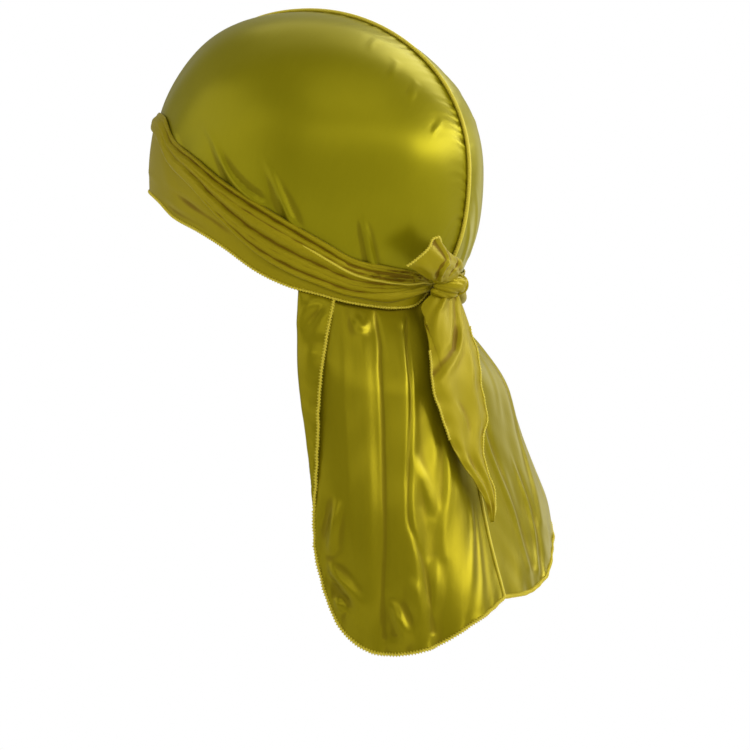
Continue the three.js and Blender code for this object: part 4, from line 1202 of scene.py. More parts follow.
@dataclass
class Wraps:
    """Lower flat wrap and folded upper wrap round the form."""

    band_columns: int = 460
    band_rows: int = 30
    wrap_columns: int = 480
    wrap_rows: int = 70
    wall: float = 0.6
    band_lift: float = 3.0
    band_end: float = 170.0
    wrap_end: float = 176.0
    wrap_low: float = 3.8
    wrap_high: float = 1.85
    fold_height: float = 2.7
    front_height: float = 0.8
    full_bearings: tuple[float, float] = (30.0, 75.0)
    roll_width: float = 2.6
    valley: float = 1.5
    drifts: tuple[float, float] = (-0.01, 0.03)
    drift_turns: float = 3.0
    band_gap: float = 0.35
    band_ripple: Ripple = Ripple(0.22, 34.0, 21, 30.0)
    ripple_rows: tuple[float, float] = (0.0, 0.3)
    wrap_ripples: tuple[Ripple, Ripple] = (Ripple(0.16, 24.0, 31, 60.0), Ripple(0.06, 11.0, 32, -90.0))
    thin_rows: tuple[float, float] = (0.55, 1.0)
    hem_bearings: tuple[float, ...] = (104, 109, 120, 133, 148, 160, 171)
    hem_places: tuple[float, ...] = (0.74, 0.72, 0.68, 0.62, 0.53, 0.45, 0.42)
    hem_points: int = 90
    hem_rise: tuple[float, float] = (106.0, 122.0)
    band_flat: tuple[float, float] = (0.55, 0.029)
    wrap_flat: tuple[float, float] = (0.55, 0.0155)
    line_bearings: tuple[float, ...] = (0, 40, 60, 84, 109, 133, 156, 176)
    lines: tuple[PleatLine, ...] = (
        PleatLine(
            (0.75, 0.78, 0.8, 0.85, 0.86, 0.82, 0.78, 0.75), (0.4, 0.7, 0.9, 0.95, 0.95, 0.9, 0.85, 0.9), 1.3
        ),
        PleatLine((0.8, 0.75, 0.68, 0.7, 0.72, 0.7, 0.64, 0.6), (0, 0.2, 0.3, 0.3, 0.35, 0.5, 0.7, 0.9), 1.2),
        PleatLine(
            (0.6, 0.58, 0.5, 0.43, 0.44, 0.47, 0.48, 0.46), (0, 0.2, 0.7, 0.95, 0.95, 0.9, 0.85, 0.9), 2.0
        ),
        PleatLine((0.5, 0.4, 0.3, 0.25, 0.29, 0.33, 0.36, 0.33), (0, 0, 0.1, 0.25, 0.3, 0.5, 0.75, 0.9), 1.4),
        PleatLine((0.2, 0.2, 0.15, 0.12, 0.14, 0.18, 0.22, 0.2), (0, 0, 0, 0.4, 0.75, 0.8, 0.85, 0.9), 1.6),
        PleatLine((0.93, 0.93, 0.93, 0.93, 0.94, 0.92, 0.9, 0.87), (0, 0, 0, 0, 0.1, 0.3, 0.7, 0.9), 0.9),
    )
    band_strokes: tuple[Stroke, ...] = (
        Stroke(((52, -2), (70, -14), (90, -32), (106, -48)), 2.4, 0.5, 0.5, 1, 0.4, 0.9),
        Stroke(((50, -10), (62, -18), (76, -27), (92, -43)), 2.2, 0.45, 0.5, 1, 0.4, 0.9),
        Stroke(((95, -48), (112, -58), (130, -67), (150, -70)), 2.2, 0.6, 0.5, -1, 0.4, 0.6),
        Stroke(((25, 5), (40, 0), (52, -6)), 2.4, 0.35, 0.5, 1, 0.4, 0.9),
    )
    wrap_strokes: tuple[Stroke, ...] = (
        Stroke(((136, -65.5), (148, -66), (159, -63.5), (170, -59.5)), 4.2, 2.4, 0.3, -1, 0.4),
        Stroke(((146, -60.5), (158, -60), (166, -58.8), (173, -57.5)), 1.7, -1.0, 0.2, 1, 0.5),
        Stroke(((118, -45), (134, -53), (150, -56), (168, -57)), 2.0, -0.7, 0.2, 1, 0.5),
    )

    def folds(self, place: Array, bearing: Array, height: Array) -> Array:
        """Returns how far the folds stand out, from 0 at the wrap's edges.

        Args:
            place: Share of the wrap's height, 0 at its lower edge.
            bearing: Bearings.
            height: The wrap's height in millimetres.
        """
        round_way = np.abs(bearing)
        left_drift, right_drift = self.drifts
        waver = np.sin(np.radians(self.drift_turns * round_way))
        drift = np.where(bearing < 0, right_drift, left_drift) * waver
        rise = mixed(self.front_height, self.fold_height, ease(round_way, *self.full_bearings))
        from_edge = np.minimum(place, 1 - place) * height / self.roll_width
        rolled = np.sqrt(1 - (1 - np.clip(from_edge, 0, 1)) ** 2)
        left = np.ones_like(place)
        for line in self.lines:
            middle = read_table(self.line_bearings, line.places, round_way) + drift
            depth = read_table(self.line_bearings, line.depths, round_way)
            gap = (place - middle) * height / line.width
            left = left * (1 - depth * np.exp(-np.abs(gap) ** self.valley))
        return rise * rolled * left

    def band(self) -> Cloth:
        """Returns the lower wrap."""
        bearing, v = spread_grid(self.band_columns, self.band_rows, (-self.band_end, self.band_end))
        low = WRAPS.read(WRAPS.band, bearing)
        high = (WRAPS.read(WRAPS.top, bearing) + WRAPS.read(WRAPS.pleated, bearing)) / 2 - self.band_gap
        cloth = Cloth(HEAD.laid(bearing, mixed(low, high, v), self.band_lift))
        along, _ = cloth.lengths()
        cloth.lift(self.band_ripple.at(along, v) * ease(v, *self.ripple_rows))
        cloth.fold(both_sides(self.band_strokes), partial(HEAD.laid, lift=self.band_lift))
        return cloth

    def wrap(self) -> Cloth:
        """Returns the pleated upper wrap."""
        bearing, v = spread_grid(self.wrap_columns, self.wrap_rows, (-self.wrap_end, self.wrap_end))
        low, high = WRAPS.read(WRAPS.laid, bearing), WRAPS.read(WRAPS.top, bearing)
        floor = mixed(self.wrap_low, self.wrap_high, ease(v, *self.thin_rows))
        cloth = Cloth(HEAD.laid(bearing, mixed(low, high, v), floor + self.folds(v, bearing, high - low)))
        along, _ = cloth.lengths()
        cloth.lift(sum(ripple.at(along, v) for ripple in self.wrap_ripples))
        onto = partial(HEAD.laid, lift=self.wrap_high + self.fold_height)
        cloth.fold(both_sides(self.wrap_strokes), onto)
        return cloth

    def hem(self, wrap: Cloth, side: Side) -> tuple[Array, Array]:
        """Returns the line of the wrap's folded edge on one side, with its outward normals."""
        at = np.linspace(self.hem_bearings[0], self.hem_bearings[-1], self.hem_points)
        across = (side.value * at + self.wrap_end) / (2 * self.wrap_end)
        line, out = wrap.trace(across, read_table(self.hem_bearings, self.hem_places, at))
        return line - (1 - ease(at, *self.hem_rise))[:, None] * out, out

    def build(self, finishes: Finishes) -> list[Piece]:
        """Returns both wraps with their stitched edges."""
        band, wrap = self.band(), self.wrap()
        edge = Overlock(pitch=1.6, across=2.1, height=1.8, core=0.55, slant=18, thread=0.95)
        line = edge.run("brow_band_hem", [band.border(Edge.FIRST_ROW)], finishes.thread)
        rib = Overlock(pitch=1.35, across=1.8, height=0.9, core=0.5, slant=30, seed=9)
        sides = [self.hem(wrap, side) for side in (Side.RIGHT, Side.LEFT)]
        hem = rib.run("upper_wrap_hem", sides, finishes.thread)
        return [
            satin_piece(
                band, "brow_band", self.wall, finishes.straps, flat=self.band_flat, held=Held.STRETCHED,
                rests_on=("crown_left_satin",), trims=(line,),
            ),
            satin_piece(
                wrap, "upper_wrap", self.wall, finishes.straps, flat=self.wrap_flat, held=Held.GATHERED,
                rests_on=("brow_band_satin",), trims=(hem,),
            ),
        ]


@dataclass
class Tail:
    """Both hanging panels of the neck tail with their hems and seam."""

    left_columns: int = 170
    right_columns: int = 130
    rows: int = 185
    wall: float = 0.45
    strip_share: float = 0.2
    turn_share: float = 0.09
    turn_reach: float = 5.0
    joint: float = 0.08
    tuck: float = 6.0
    stroke_release: float = 12.0
    hem_starts: tuple[float, float] = (0.02, 0.04)
    seam_start: float = 0.03
    seam_lift: float = 0.25
    hem_ripple: Ripple = Ripple(0.55, 13.0, 41)
    side_ripple: Ripple = Ripple(0.45, 15.0, 42)
    ripple_reach: float = 7.0
    ripple_start: tuple[float, float] = (12.0, 30.0)
    swell: Ripple = Ripple(0.35, 30.0, 43, 0.3)
    swell_down: Ripple = Ripple(1.0, 45.0, 44)
    swell_start: tuple[float, float] = (10.0, 40.0)
    right_seeds: int = 10
    left_flat: tuple[float, float] = (0.14, 0.185)
    right_flat: tuple[float, float] = (0.115, 0.175)
    left_strokes: tuple[Stroke, ...] = (
        Stroke(((0.49, -70), (0.497, -91), (0.472, -108), (0.444, -139), (0.406, -176), (0.38, -200),
                (0.326, -229), (0.31, -247)), 2.0, -0.9, 0.0, 1, 0.08, 0.5),
        Stroke(((0.735, -72), (0.65, -100), (0.61, -128), (0.567, -150), (0.515, -183), (0.532, -197),
                (0.553, -212), (0.535, -244)), 2.0, -0.9, 0.0, 1, 0.08, 0.4),
        Stroke(((0.27, -68), (0.287, -97), (0.254, -134), (0.227, -176), (0.227, -217)), 3.3, 0.4, 0.7, -1,
               0.1, 0.6),
        Stroke(((0.79, -120), (0.79, -150), (0.76, -170), (0.709, -187), (0.67, -205)), 3.6, 0.64, 0.8, 1,
               0.3, 0.6),
        Stroke(((0.907, -172), (0.878, -191), (0.80, -213), (0.722, -234)), 2.7, 0.56, 0.8, -1, 0.3, 0.7),
        Stroke(((0.94, -172), (0.91, -195), (0.86, -217), (0.8, -232)), 2.4, 0.40, 0.8, -1, 0.3, 0.7),
        Stroke(((0.329, -75), (0.36, -81), (0.389, -84), (0.42, -81), (0.447, -76)), 3.8, 1.3, 0.2, 1,
               0.3, 0.8),
        Stroke(((0.64, -76), (0.67, -82), (0.7, -78)), 3.3, 0.32, 0.7, 1, 0.4, 0.8),
        Stroke(((0.16, -172), (0.13, -186), (0.11, -200), (0.12, -206)), 4.2, 2.6, 0.3, 1, 0.4, 0.8),
        Stroke(((0.07, -205), (0.11, -213), (0.17, -221), (0.215, -230), (0.2, -238)), 4.4, 3.0, 0.3, 1,
               0.4, 0.8),
        Stroke(((0.1, -225), (0.13, -231), (0.16, -235)), 3.6, 2.0, 0.2, -1, 0.4, 0.8),
        Stroke(((0.37, -226), (0.385, -236), (0.4, -246), (0.36, -251)), 4.4, 2.6, 0.3, -1, 0.4, 0.7),
        Stroke(((0.6, -150), (0.62, -163), (0.65, -178), (0.64, -186)), 5.0, 1.3, 0.2, 1, 0.4, 0.8),
        Stroke(((0.62, -203), (0.6, -217), (0.56, -232), (0.52, -240)), 5.0, 1.2, 0.2, -1, 0.4, 0.8),
        Stroke(((0.47, -214), (0.48, -226), (0.46, -240)), 4.4, 0.8, 0.2, 1, 0.4, 0.8),
    )
    strip_strokes: tuple[Stroke, ...] = (
        Stroke(((9, -66), (13, -74), (17, -82)), 3.4, -0.96, 0.6, 1, 0.4, 0.6),
        Stroke(((2, -70), (7, -76), (12, -84)), 3.4, 0.72, 0.6, 1, 0.4, 0.6),
        Stroke(((6, -92), (8, -100), (9, -108)), 5.9, -0.72, 0.4, 1, 0.4, 0.6),
    )
    right_strokes: tuple[Stroke, ...] = (
        Stroke(((1.09, -120), (1.12, -150), (1.2, -185), (1.24, -214)), 3.6, 1.2, 0.8, -1, 0.2, 0.2),
        Stroke(((1.3, -150), (1.35, -180), (1.36, -200), (1.335, -216)), 3.0, 1.0, 0.8, -1, 0.3, 0.2),
        Stroke(((1.2, -150), (1.27, -178), (1.27, -200)), 7.5, -0.80, 0.4, 1, 0.4, 0.5),
        Stroke(((1.5, -80), (1.52, -120), (1.49, -160), (1.46, -190)), 3.9, 0.72, 0.8, 1, 0.1, 0.4),
        Stroke(((1.7, -85), (1.72, -120), (1.68, -160), (1.7, -176)), 3.6, 0.56, 0.8, 1, 0.1, 0.5),
        Stroke(((1.85, -90), (1.82, -120), (1.8, -150)), 4.5, 0.48, 0.6, -1, 0.2, 0.6),
        Stroke(((1.35, -78), (1.33, -100), (1.3, -130)), 3.6, 0.48, 0.7, 1, 0.2, 0.7),
    )

    def levels(self, columns_top: Array, columns_low: Array) -> Array:
        """Returns the grid of levels between the top and the hem of each column."""
        return mixed(columns_top[:, None], columns_low[:, None], np.linspace(0, 1, self.rows)[None])

    def columns(self, count: int) -> tuple[Array, Array, Array]:
        """Returns the shares of a panel's columns, with the levels of its gather and lowest hem."""
        share = np.linspace(0, 1, count)
        return share, np.full_like(share, TAIL.gather), np.full_like(share, TAIL.gather - TAIL.length)

    def hang(
        self, cloth: Cloth, layers: Sequence[tuple[Sequence[Stroke], Onto]], free: Array, other: int
    ) -> Cloth:
        """Lays the folds into a panel, ripples its hems and lets the cloth swell a little.

        Args:
            cloth: The plain panel.
            layers: Folds, each with the form that they lie on.
            free: Share of the folds that each point keeps.
            other: Added to the ripples' seeds.

        Returns:
            The same panel.
        """
        cloth.settle(layers, free)
        along, down = cloth.lengths()
        left = np.maximum(down[:, -1:] - down, 0)
        hem = self.hem_ripple.at(along, other=other) * np.exp(-left / self.ripple_reach)
        side = self.side_ripple.at(down, other=other) * np.exp(-along / self.ripple_reach)
        swell = self.swell.at(along, down, other) * self.swell_down.at(down, other=other)
        cloth.lift((hem + side) * ease(down, *self.ripple_start) + swell * ease(down, *self.swell_start))
        return cloth

    def left_run(self, c: Array, level: Array) -> Array:
        """Returns the running width from the hemmed edge of a mesh column."""
        width, _, radius = STRIP.at(level)
        first = np.maximum(width - self.turn_reach, self.turn_reach / 2)
        second = first + 2 * self.turn_reach
        strip = first * c / self.strip_share
        turned = mixed(first, second, (c - self.strip_share) / self.turn_share)
        behind = self.strip_share + self.turn_share
        f = np.clip((c - behind) / (1 - behind), 0, 1)
        fall = TAIL.fallen(level)
        lines = len(LEFT_FOLDS.top) - 1
        start = LEFT_FOLDS.followed(np.ones_like(f), fall)
        here = LEFT_FOLDS.followed(1 + f * (lines - 1), fall)
        low = STRIP.place(second, level)
        end = 1 - self.joint / TAIL.panel_width(0.0, level)
        place = low + (end - low) * (here - start) / (1 - start)
        panel = STRIP.run(place, level)
        run = np.where(c < self.strip_share, strip, turned)
        return np.where(f > 0, panel, run)

    def left(self) -> Cloth:
        """Returns the left panel with its turned-back strip."""
        c, gather, lowest = self.columns(self.left_columns)
        foot = STRIP.place(self.left_run(c, lowest), lowest)
        head = STRIP.place(self.left_run(c, gather), gather)
        top = np.minimum(TAIL.top(head), WRAPS.read(WRAPS.band, TAIL.bearing(head)) + self.tuck)
        level = self.levels(top, TAIL.hem(LEFT_HEM, foot))
        run = self.left_run(np.broadcast_to(c[:, None], level.shape), level)

        def onto(place: Array, low: Array) -> Array:
            """Returns the panel's point behind the strip."""
            return STRIP.surface(STRIP.run(place, low), low)

        layers = [(self.left_strokes, onto), (self.strip_strokes, STRIP.surface)]
        free = TAIL.freed(STRIP.place(run, level), level, self.stroke_release)
        return self.hang(Cloth(STRIP.surface(run, level), TAIL_MIDDLE), layers, free, 0)

    def right(self) -> Cloth:
        """Returns the right panel."""
        c, gather, lowest = self.columns(self.right_columns)
        lines = len(RIGHT_FOLDS.top) - 1

        def across(level: Array, share: Array) -> Array:
            """Returns the place across the panel of a mesh column."""
            end = 1 - self.joint / TAIL.panel_width(RIGHT_PLACE, level)
            return np.minimum(RIGHT_FOLDS.followed(share * lines, TAIL.fallen(level)), end)

        def onto(where: Array, low: Array) -> Array:
            """Returns the folded panel's point."""
            return TAIL.lifted(where, low, TAIL.fold_lift(RIGHT_FOLDS, RIGHT_PLACE - where, low))

        level = self.levels(TAIL.top(across(gather, c)), TAIL.hem(RIGHT_HEM, across(lowest, c)))
        place = across(level, np.broadcast_to(c[:, None], level.shape))
        plain = TAIL.lifted(RIGHT_PLACE - place, level, TAIL.fold_lift(RIGHT_FOLDS, place, level))
        free = TAIL.freed(place, level, self.stroke_release)
        return self.hang(Cloth(plain, TAIL_MIDDLE), [(self.right_strokes, onto)], free, self.right_seeds)

    def build(self, finishes: Finishes) -> list[Piece]:
        """Returns both panels with their hems and seam."""
        left, right = self.left(), self.right()
        edge = Overlock(pitch=1.65, across=2.7, height=2.0, core=0.6, slant=18, thread=1.0)
        hems = [
            edge.run(
                name, [panel.border(Edge.FIRST_COLUMN, start), panel.border(Edge.LAST_ROW)], finishes.thread
            )
            for name, panel, start in (
                ("tail_left_hem", left, self.hem_starts[0]), ("tail_right_hem", right, self.hem_starts[1])
            )
        ]
        line, out = left.border(Edge.LAST_COLUMN, self.seam_start)
        other, _ = right.border(Edge.LAST_COLUMN, self.seam_start)
        seam = Overlock(across=3.0, height=1.4, core=0.9, thread=0.9, slant=28)
        middle = (line + other) / 2 + self.seam_lift * out
        ridge = seam.run("tail_seam_overlock", [(middle, out)], finishes.thread)
        return [
            satin_piece(
                panel, node, self.wall, finishes.tail, flat=flat, rests_on=("brow_band_satin",), trims=(hem,)
            )
            for panel, node, flat, hem in (
                (left, "tail_left", self.left_flat, hems[0]), (right, "tail_right", self.right_flat, hems[1])
            )
        ] + [Piece(ridge, ("tail_seam",), "overlock")]


@dataclass(frozen=True)
class Roll:
    """Roll of gathered cloth. Its way runs across, up and out from the knot's middle."""

    way: tuple[tuple[float, float, float], ...]
    radii: tuple[float, ...]
    lobes: int = 5
    groove: float = 0.2
    twist: float = 1.2
    flatness: float = 0.85
    STEPS = 60
    SIDES = 48
    BLUNT = 6
    LEAST = 0.02

    def grid(self) -> Array:
        """Returns the roll's points as rings along its way."""
        share = np.linspace(0, 1, self.STEPS)
        line = through(np.array(self.way), share)
        radius = read_table(np.linspace(0, 1, len(self.radii)), self.radii, share)
        blunt = (1 - np.abs(2 * share - 1) ** self.BLUNT) ** 0.5
        tangent = unit(np.gradient(line, axis=0))
        first = unit(np.cross(tangent, np.array([0.0, 0.0, 1.0])))
        second = np.cross(first, tangent)
        turn = np.linspace(0, 2 * np.pi, self.SIDES, endpoint=False)
        phase = turn[None] + self.twist * 2 * np.pi * share[:, None]
        lobe = 1 - self.groove + self.groove * np.sqrt(np.abs(np.cos(self.lobes * phase / 2)))
        reach = (radius * np.maximum(blunt, self.LEAST))[:, None] * lobe
        across = (reach * np.cos(turn))[..., None] * first[:, None]
        out = (self.flatness * reach * np.sin(turn))[..., None] * second[:, None]
        return line[:, None] + across + out


@dataclass
class Knot:
    """Tied knot at the nape with its short and long strap ends."""

    lift: float = 10.55
    wall: float = 0.5
    tab_columns: int = 60
    tab_rows: int = 52
    long_columns: int = 70
    long_rows: int = 160
    long_top: float = 9.5
    long_run: tuple[float, float] = (-0.075, 1.0)
    long_length: float = 121.5
    long_lift: float = 8.2
    long_fold: float = 1.3
    long_pinch: float = 0.35
    pinch_run: float = 0.09
    tab_ripple: Ripple = Ripple(0.35, 12.0, 61, 0.4)
    tab_start: tuple[float, float] = (2.0, 8.0)
    edge_ripple: Ripple = Ripple(0.4, 16.0, 71)
    edge_fades: tuple[float, float] = (7.0, 9.0)
    long_ripple: Ripple = Ripple(0.25, 24.0, 72, 20.0)
    long_start: tuple[float, float] = (8.0, 30.0)
    short_flat: tuple[float, float] = (0.03, 0.033)
    long_flat: tuple[float, float] = (0.04, 0.128)
    rolls: tuple[Roll, ...] = (
        Roll(((-12.5, -2, -1.5), (-6, 0.3, 2.2), (1, 1, 3.4), (6, 0.6, 2.4), (13, 1.4, -3.5)),
             (2.2, 4.2, 4.9, 4.2, 2.4), 5, 0.16, 0.35),
        Roll(((-13, -4.5, -2), (-5, -4.6, 1), (2.5, -4, 2), (12, -2.2, -3.5)),
             (2, 2.9, 3.0, 2.3), 4, 0.2, 0.5),
        Roll(((4.5, 6, -1), (6.4, 3.6, 3.4), (7, 0, 4.6), (6.2, -3.4, 3.2), (4.5, -5.4, -1.5)),
             (1.5, 2.1, 2.4, 2.0, 1.3), 4, 0.22, 0.4),
        Roll(((7.2, 5, -3), (8.8, 2.5, 0.4), (8.8, -1.2, 0.4), (7.2, -3.6, -3)),
             (1.4, 1.8, 1.8, 1.3), 4, 0.2, 0.3),
        Roll(((-14.5, 2.2, -3.5), (-9, 1.2, 0), (-4, 2.4, 1.5), (2, 4.5, 0.5)),
             (1.6, 2.3, 2.4, 1.4), 3, 0.2, 0.4),
    )
    tab_net: tuple[tuple[tuple[float, float, float], ...], ...] = (
        ((-11.1, 1.1, 3.0), (-10.6, 1.7, 4.0), (-10.1, 2.8, 5.0), (-7.0, 3.3, 5.0), (-2.2, 3.3, 4.0)),
        ((-23.8, 3.3, 2.5), (-23.2, 6.1, 6.0), (-20.7, 9.9, 9.0), (-11.2, 11.0, 7.0), (1.5, 8.8, 3.0)),
        ((-35.5, 6.6, 2.0), (-33.6, 10.5, 6.0), (-25.3, 15.5, 8.0), (-13.8, 16.0, 6.0), (1.8, 14.4, 1.5)),
        ((-45.1, 9.9, 1.5), (-41.8, 14.9, 4.0), (-36.0, 21.5, 4.5), (-30.0, 26.5, 3.0), (-14.5, 17.7, 1.0)),
    )
    tab_strokes: tuple[Stroke, ...] = (
        Stroke(((0.1, 0.05), (0.45, 0.4), (0.66, 0.7), (0.76, 1.0)), 1.8, 1.3, 0.6, -1, 0.2),
        Stroke(((0.5, 0.05), (0.8, 0.35), (0.9, 0.7), (0.92, 0.95)), 1.8, -1.1, 0.2, 1, 0.3, 0.3),
        Stroke(((0.1, 0.2), (0.2, 0.5), (0.25, 0.8)), 2.4, 0.5, 0.4, 1, 0.3, 0.6),
    )
    run: tuple[float, ...] = (0, 0.07, 0.2, 0.31, 0.41, 0.54, 0.65, 0.75, 0.84, 0.925, 1)
    left_edge: tuple[float, ...] = (0.86, 0.8, 0.765, 0.735, 0.71, 0.74, 0.77, 0.82, 0.89, 0.935, 0.935)
    right_edge: tuple[float, ...] = (1.07, 1.085, 1.075, 1.06, 1.04, 1.05, 0.99, 0.98, 1.01, 1, 0.95)
    long_strokes: tuple[Stroke, ...] = (
        Stroke(((0.75, -0.04), (0.86, 0.04), (0.97, 0.14)), 2.1, 0.72, 0.7, -1, 0.2, 0.4),
        Stroke(((0.55, -0.04), (0.5, 0.08), (0.38, 0.22)), 2.5, 0.85, 0.8, -1, 0.2, 0.4),
        Stroke(((0.3, -0.04), (0.24, 0.08), (0.16, 0.2)), 2.2, 0.68, 0.7, 1, 0.2, 0.4),
        Stroke(((0.72, 0.12), (0.5, 0.26), (0.12, 0.38)), 3.1, 0.99, 0.9, 1, 0.3, 0.3),
        Stroke(((0.35, 0.66), (0.45, 0.76), (0.5, 0.84)), 4.2, -0.81, 0.6, 1, 0.4, 0.8),
        Stroke(((0.8, 0.2), (0.78, 0.4), (0.74, 0.6)), 3.9, 0.54, 0.6, 1, 0.3, 0.8),
        Stroke(((0.3, 0.45), (0.42, 0.58), (0.5, 0.72)), 3.4, 0.54, 0.6, -1, 0.3, 0.8),
    )

    def frame(self) -> tuple[Array, Array]:
        """Returns the knot's middle and its across, up and out directions as rows."""
        way = HEAD.direction(KNOT_BEARING, KNOT_LEVEL)
        middle, skin = HEAD.over(way, self.lift), HEAD.over(way, 0.0)
        out = unit(middle - skin)
        across = unit(np.cross(np.array([0.0, 0.0, 1.0]), out))
        return middle, np.stack([across, np.cross(out, across), out])

    def lump(self) -> bpy.types.Mesh:
        """Returns the knot's rolls as one mesh."""
        middle, axes = self.frame()
        vertices, faces, start = [], [], 0
        for roll in self.rolls:
            grid = middle + roll.grid() @ axes
            steps, sides = grid.shape[:2]
            vertices.append(grid.reshape(-1, 3))
            number = start + np.arange(steps * sides).reshape(steps, sides)
            after = np.roll(number, -1, 1)
            ring = np.stack([number[:-1], after[:-1], after[1:], number[1:]], -1).reshape(-1, 4)
            faces += ring.tolist() + [number[0, ::-1].tolist(), number[-1].tolist()]
            start += steps * sides
        mesh = bpy.data.meshes.new("knot_satin")
        points = np.concatenate(vertices) * MM
        mesh.from_pydata(points.tolist(), [], faces)
        mesh.polygons.foreach_set("use_smooth", np.ones(len(mesh.polygons), bool))
        return mesh

    def tab(self) -> Cloth:
        """Returns the short strap end, turned up beside the knot."""
        middle, axes = self.frame()
        share, run = np.linspace(0, 1, self.tab_columns), np.linspace(0, 1, self.tab_rows)
        rows = np.array([through(row, share) for row in np.array(self.tab_net)])
        net = np.array([through(line, run) for line in rows.swapaxes(0, 1)])
        cloth = Cloth(middle + net @ axes, TAB_MIDDLE)

        def onto(across: Array, down: Array) -> Array:
            """Returns the point of the tab at shares across and down it."""
            return cloth.trace(across, down)[0]

        cloth.fold(self.tab_strokes, onto)
        along, down = cloth.lengths()
        cloth.lift(self.tab_ripple.at(along, down) * ease(down, *self.tab_start))
        return cloth

    def long_surface(self, share: Array, run: Array) -> Array:
        """Returns the long end's surface by share across and run down."""
        low = np.clip(run, 0, 1)
        narrow = ease(-run, 0.0, self.pinch_run)
        left, right = (read_table(self.run, edge, low) for edge in (self.left_edge, self.right_edge))
        middle = (left + right) / 2
        place = middle + (right - left) * (share - 0.5) * (1 - self.long_pinch * narrow)
        level = KNOT_LEVEL - self.long_top - run * self.long_length
        fold = self.long_fold * (0.5 - 0.5 * np.cos(4 * np.pi * share))
        return TAIL.lifted(place, level, self.long_lift + fold)

    def long_end(self) -> Cloth:
        """Returns the long strap end that hangs over the tail."""
        share, run = spread_grid(self.long_columns, self.long_rows, down=self.long_run)
        cloth = Cloth(self.long_surface(share, run), TAIL_MIDDLE)
        cloth.fold(self.long_strokes, self.long_surface)
        _, down = cloth.lengths()
        start = ease(down, *self.long_start)
        left_fade, right_fade = self.edge_fades
        edge = np.exp(-share * left_fade) + np.exp(-(1 - share) * right_fade)
        cloth.lift(self.edge_ripple.at(down) * edge * start)
        cloth.lift(self.long_ripple.at(down, share) * start)
        return cloth

    def build(self, finishes: Finishes) -> list[Piece]:
        """Returns the knot and both strap ends."""
        mesh = self.lump()
        mesh.materials.append(finishes.knot)
        tab, long_end = self.tab(), self.long_end()
        edge = Overlock(pitch=1.6, across=2.1, height=1.6, core=0.5, slant=18, thread=0.95)
        sides = [long_end.border(Edge.FIRST_COLUMN, 0.3, 0.66), long_end.border(Edge.LAST_COLUMN, 0.2)]
        hems = edge.run("strap_end_long_hem", sides, finishes.thread)
        brim = edge.run("strap_end_short_hem", [tab.border(Edge.LAST_ROW)], finishes.thread)
        return [Piece(placed("knot_satin", mesh), ("knot",))] + [
            satin_piece(
                cloth, node, self.wall, finishes.straps, flat=flat, held=held, rests_on=("knot_satin",),
                trims=(trim,),
            )
            for cloth, node, flat, held, trim in (
                (tab, "strap_end_short", self.short_flat, Held.FOLDED, brim),
                (long_end, "strap_end_long", self.long_flat, Held.HUNG, hems),
            )
        ]


@dataclass(frozen=True)
class SoftBox:
    """Rectangular soft light that looks at a target. Angles are seen from the camera."""

    name: str
    aside: float
    height: float
    distance: float
    size: tuple[float, float]
    power: float


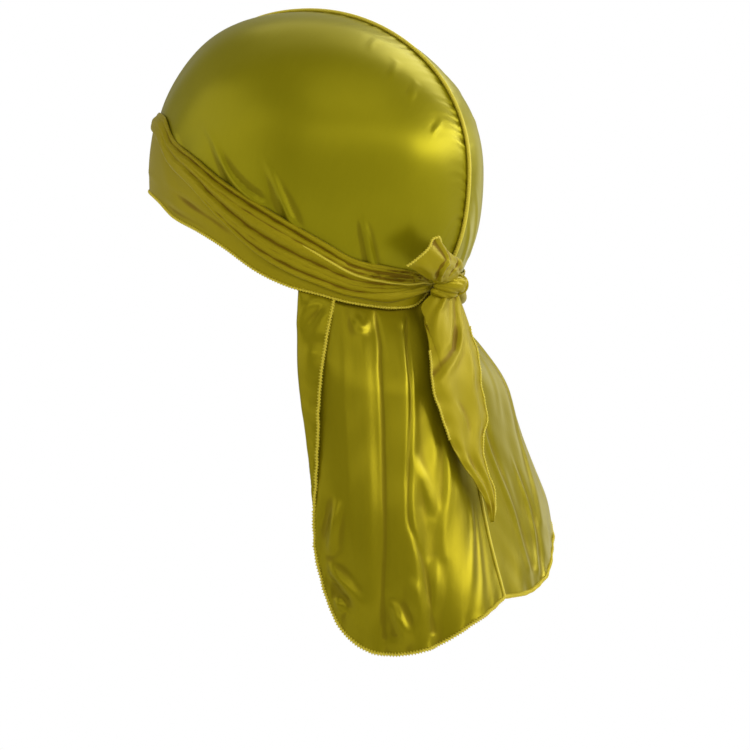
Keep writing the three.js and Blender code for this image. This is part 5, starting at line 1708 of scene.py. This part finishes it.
@dataclass
class Studio:
    """Camera, pale floor and soft light, in metres."""

    camera_bearing: float = 122.0
    distance: float = 1.9
    target: tuple[float, float, float] = (-0.017, 0.0402, -0.1994)
    lens: float = 165.06
    aim: tuple[float, float, float] = (0.0, 0.02, -0.12)
    floor_level: float = -0.8
    floor_radius: float = 14.0
    floor_sides: int = 96
    floor_fade: tuple[float, float] = (0.9, 3.5)
    floor_colour: Colour = (0.86, 0.86, 0.85)
    floor_roughness: float = 0.7
    backdrop: Colour = (1.0, 1.0, 1.0)
    ambient: float = 0.33
    view_end: float = 60.0
    boxes: tuple[SoftBox, ...] = (
        SoftBox("key_light", 88, 20, 1.8, (2.4, 0.36), 26),
        SoftBox("front_light", 14, 24, 2.2, (3.4, 0.36), 9),
        SoftBox("high_light", 12, 52, 2.0, (1.8, 1.0), 5),
        SoftBox("rim_light", 138, 42, 1.6, (0.8, 0.9), 9.5),
        SoftBox("low_light", 146, 4, 1.7, (0.6, 0.8), 1.3),
        SoftBox("top_light", 172, 62, 1.6, (1.4, 0.6), 3),
        SoftBox("left_light", -78, 20, 2.2, (2.4, 1.6), 12),
    )

    def aimed(
        self, name: str, data: bpy.types.ID, spot: Sequence[float], aside: float, height: float,
        distance: float,
    ) -> bpy.types.Object:
        """Puts a light or the camera before a spot and turns it to look there.

        Args:
            name: Name of the object.
            data: The light or camera.
            spot: Point that it looks at.
            aside: Degrees to the side of the picture's angle.
            height: Degrees up.
            distance: Distance from the spot.

        Returns:
            The object.
        """
        turn, rise = math.radians(self.camera_bearing + aside), math.radians(height)
        flat = math.cos(rise)
        back = Vector((math.sin(turn) * flat, -math.cos(turn) * flat, math.sin(rise)))
        item = placed(name, data)
        item.location = Vector(spot) + back * distance
        item.rotation_euler = (-back).to_track_quat("-Z", "Y").to_euler()
        return item

    def camera(self) -> None:
        """Makes the camera at the picture's angle."""
        data = bpy.data.cameras.new("camera")
        data.lens = self.lens
        data.clip_end = self.view_end
        bpy.context.scene.camera = self.aimed("camera", data, self.target, 0, 0, self.distance)

    def lights(self) -> None:
        """Makes the soft boxes."""
        for box in self.boxes:
            data = bpy.data.lights.new(box.name, "AREA")
            data.shape = "RECTANGLE"
            data.size, data.size_y = box.size
            data.energy = box.power
            self.aimed(box.name, data, self.aim, box.aside, box.height, box.distance)

    def room(self) -> None:
        """Sets the pale room: white to the eye, soft and dimmer as a light."""
        world = bpy.data.worlds.new("studio")
        bpy.context.scene.world = world
        world.use_nodes = True
        made = NodeTree(world.node_tree)
        seen = made.out("ShaderNodeBackground", {"Color": (*self.backdrop, 1)})
        glow = made.out("ShaderNodeBackground", {"Color": (1, 1, 1, 1), "Strength": self.ambient})
        looked_at = made.out("ShaderNodeLightPath", output="Is Camera Ray")
        mix = made.out("ShaderNodeMixShader", {0: looked_at, 1: glow, 2: seen})
        made.node("ShaderNodeOutputWorld", {0: mix})
        bpy.context.scene.view_settings.view_transform = "Standard"

    def floor(self) -> None:
        """Makes the pale floor, which runs out into the white of the room."""
        bpy.ops.mesh.primitive_circle_add(
            vertices=self.floor_sides, radius=self.floor_radius, fill_type="NGON", location=(0, 0, 0)
        )
        floor = bpy.context.object
        floor.name = "floor"
        for vertex in floor.data.vertices:
            vertex.co.z = self.floor_level
        made = FinishTree("floor_paint")
        away = made.number("ShaderNodeVectorMath", {0: made.place()}, 1, operation="LENGTH")
        paint = made.out(
            "ShaderNodeBsdfPrincipled",
            {"Base Color": (*self.floor_colour, 1), "Roughness": self.floor_roughness},
        )
        glow = made.out("ShaderNodeEmission", {"Color": (*self.backdrop, 1)})
        mix = made.out("ShaderNodeMixShader", {0: made.step(away, *self.floor_fade), 1: paint, 2: glow})
        floor.data.materials.append(made.closed(mix))

    def build(self) -> None:
        """Makes the whole studio."""
        self.camera()
        self.lights()
        self.room()
        self.floor()


def main() -> None:
    """Builds the durag and its studio and reports each piece."""
    logging.basicConfig(level=logging.INFO, format="%(name)s: %(message)s")
    Studio().build()
    # Crown, straps, knot and tail are one cloth. Their colours are set lighter or darker for each piece as
    # painted light and shade, for how the light falls on each.
    finishes = Finishes(
        crown=Satin("crown_satin", (0.225, 0.192, 0.001), (0.29, 0.252, 0.004), (0.13, 0.095, 0.001)).build(),
        straps=Satin(
            "strap_satin", (0.256, 0.198, 0.001), (0.33, 0.262, 0.004), (0.16, 0.095, 0.001), roughness=0.46,
            metallic=0.22, crease=0.9,
        ).build(),
        knot=Satin(
            "knot_satin", (0.275, 0.212, 0.001), (0.345, 0.272, 0.004), (0.17, 0.1, 0.001), roughness=0.4,
            metallic=0.25, crease=0.9,
        ).build(),
        tail=Satin(
            "tail_satin", (0.215, 0.172, 0.001), (0.28, 0.23, 0.004), (0.13, 0.09, 0.001), roughness=0.3
        ).build(),
        thread=Thread().build(),
    )
    for maker in (Crown(), Wraps(), Knot(), Tail()):
        for piece in maker.build(finishes):
            piece.mount()


if __name__ == "__main__":
    main()
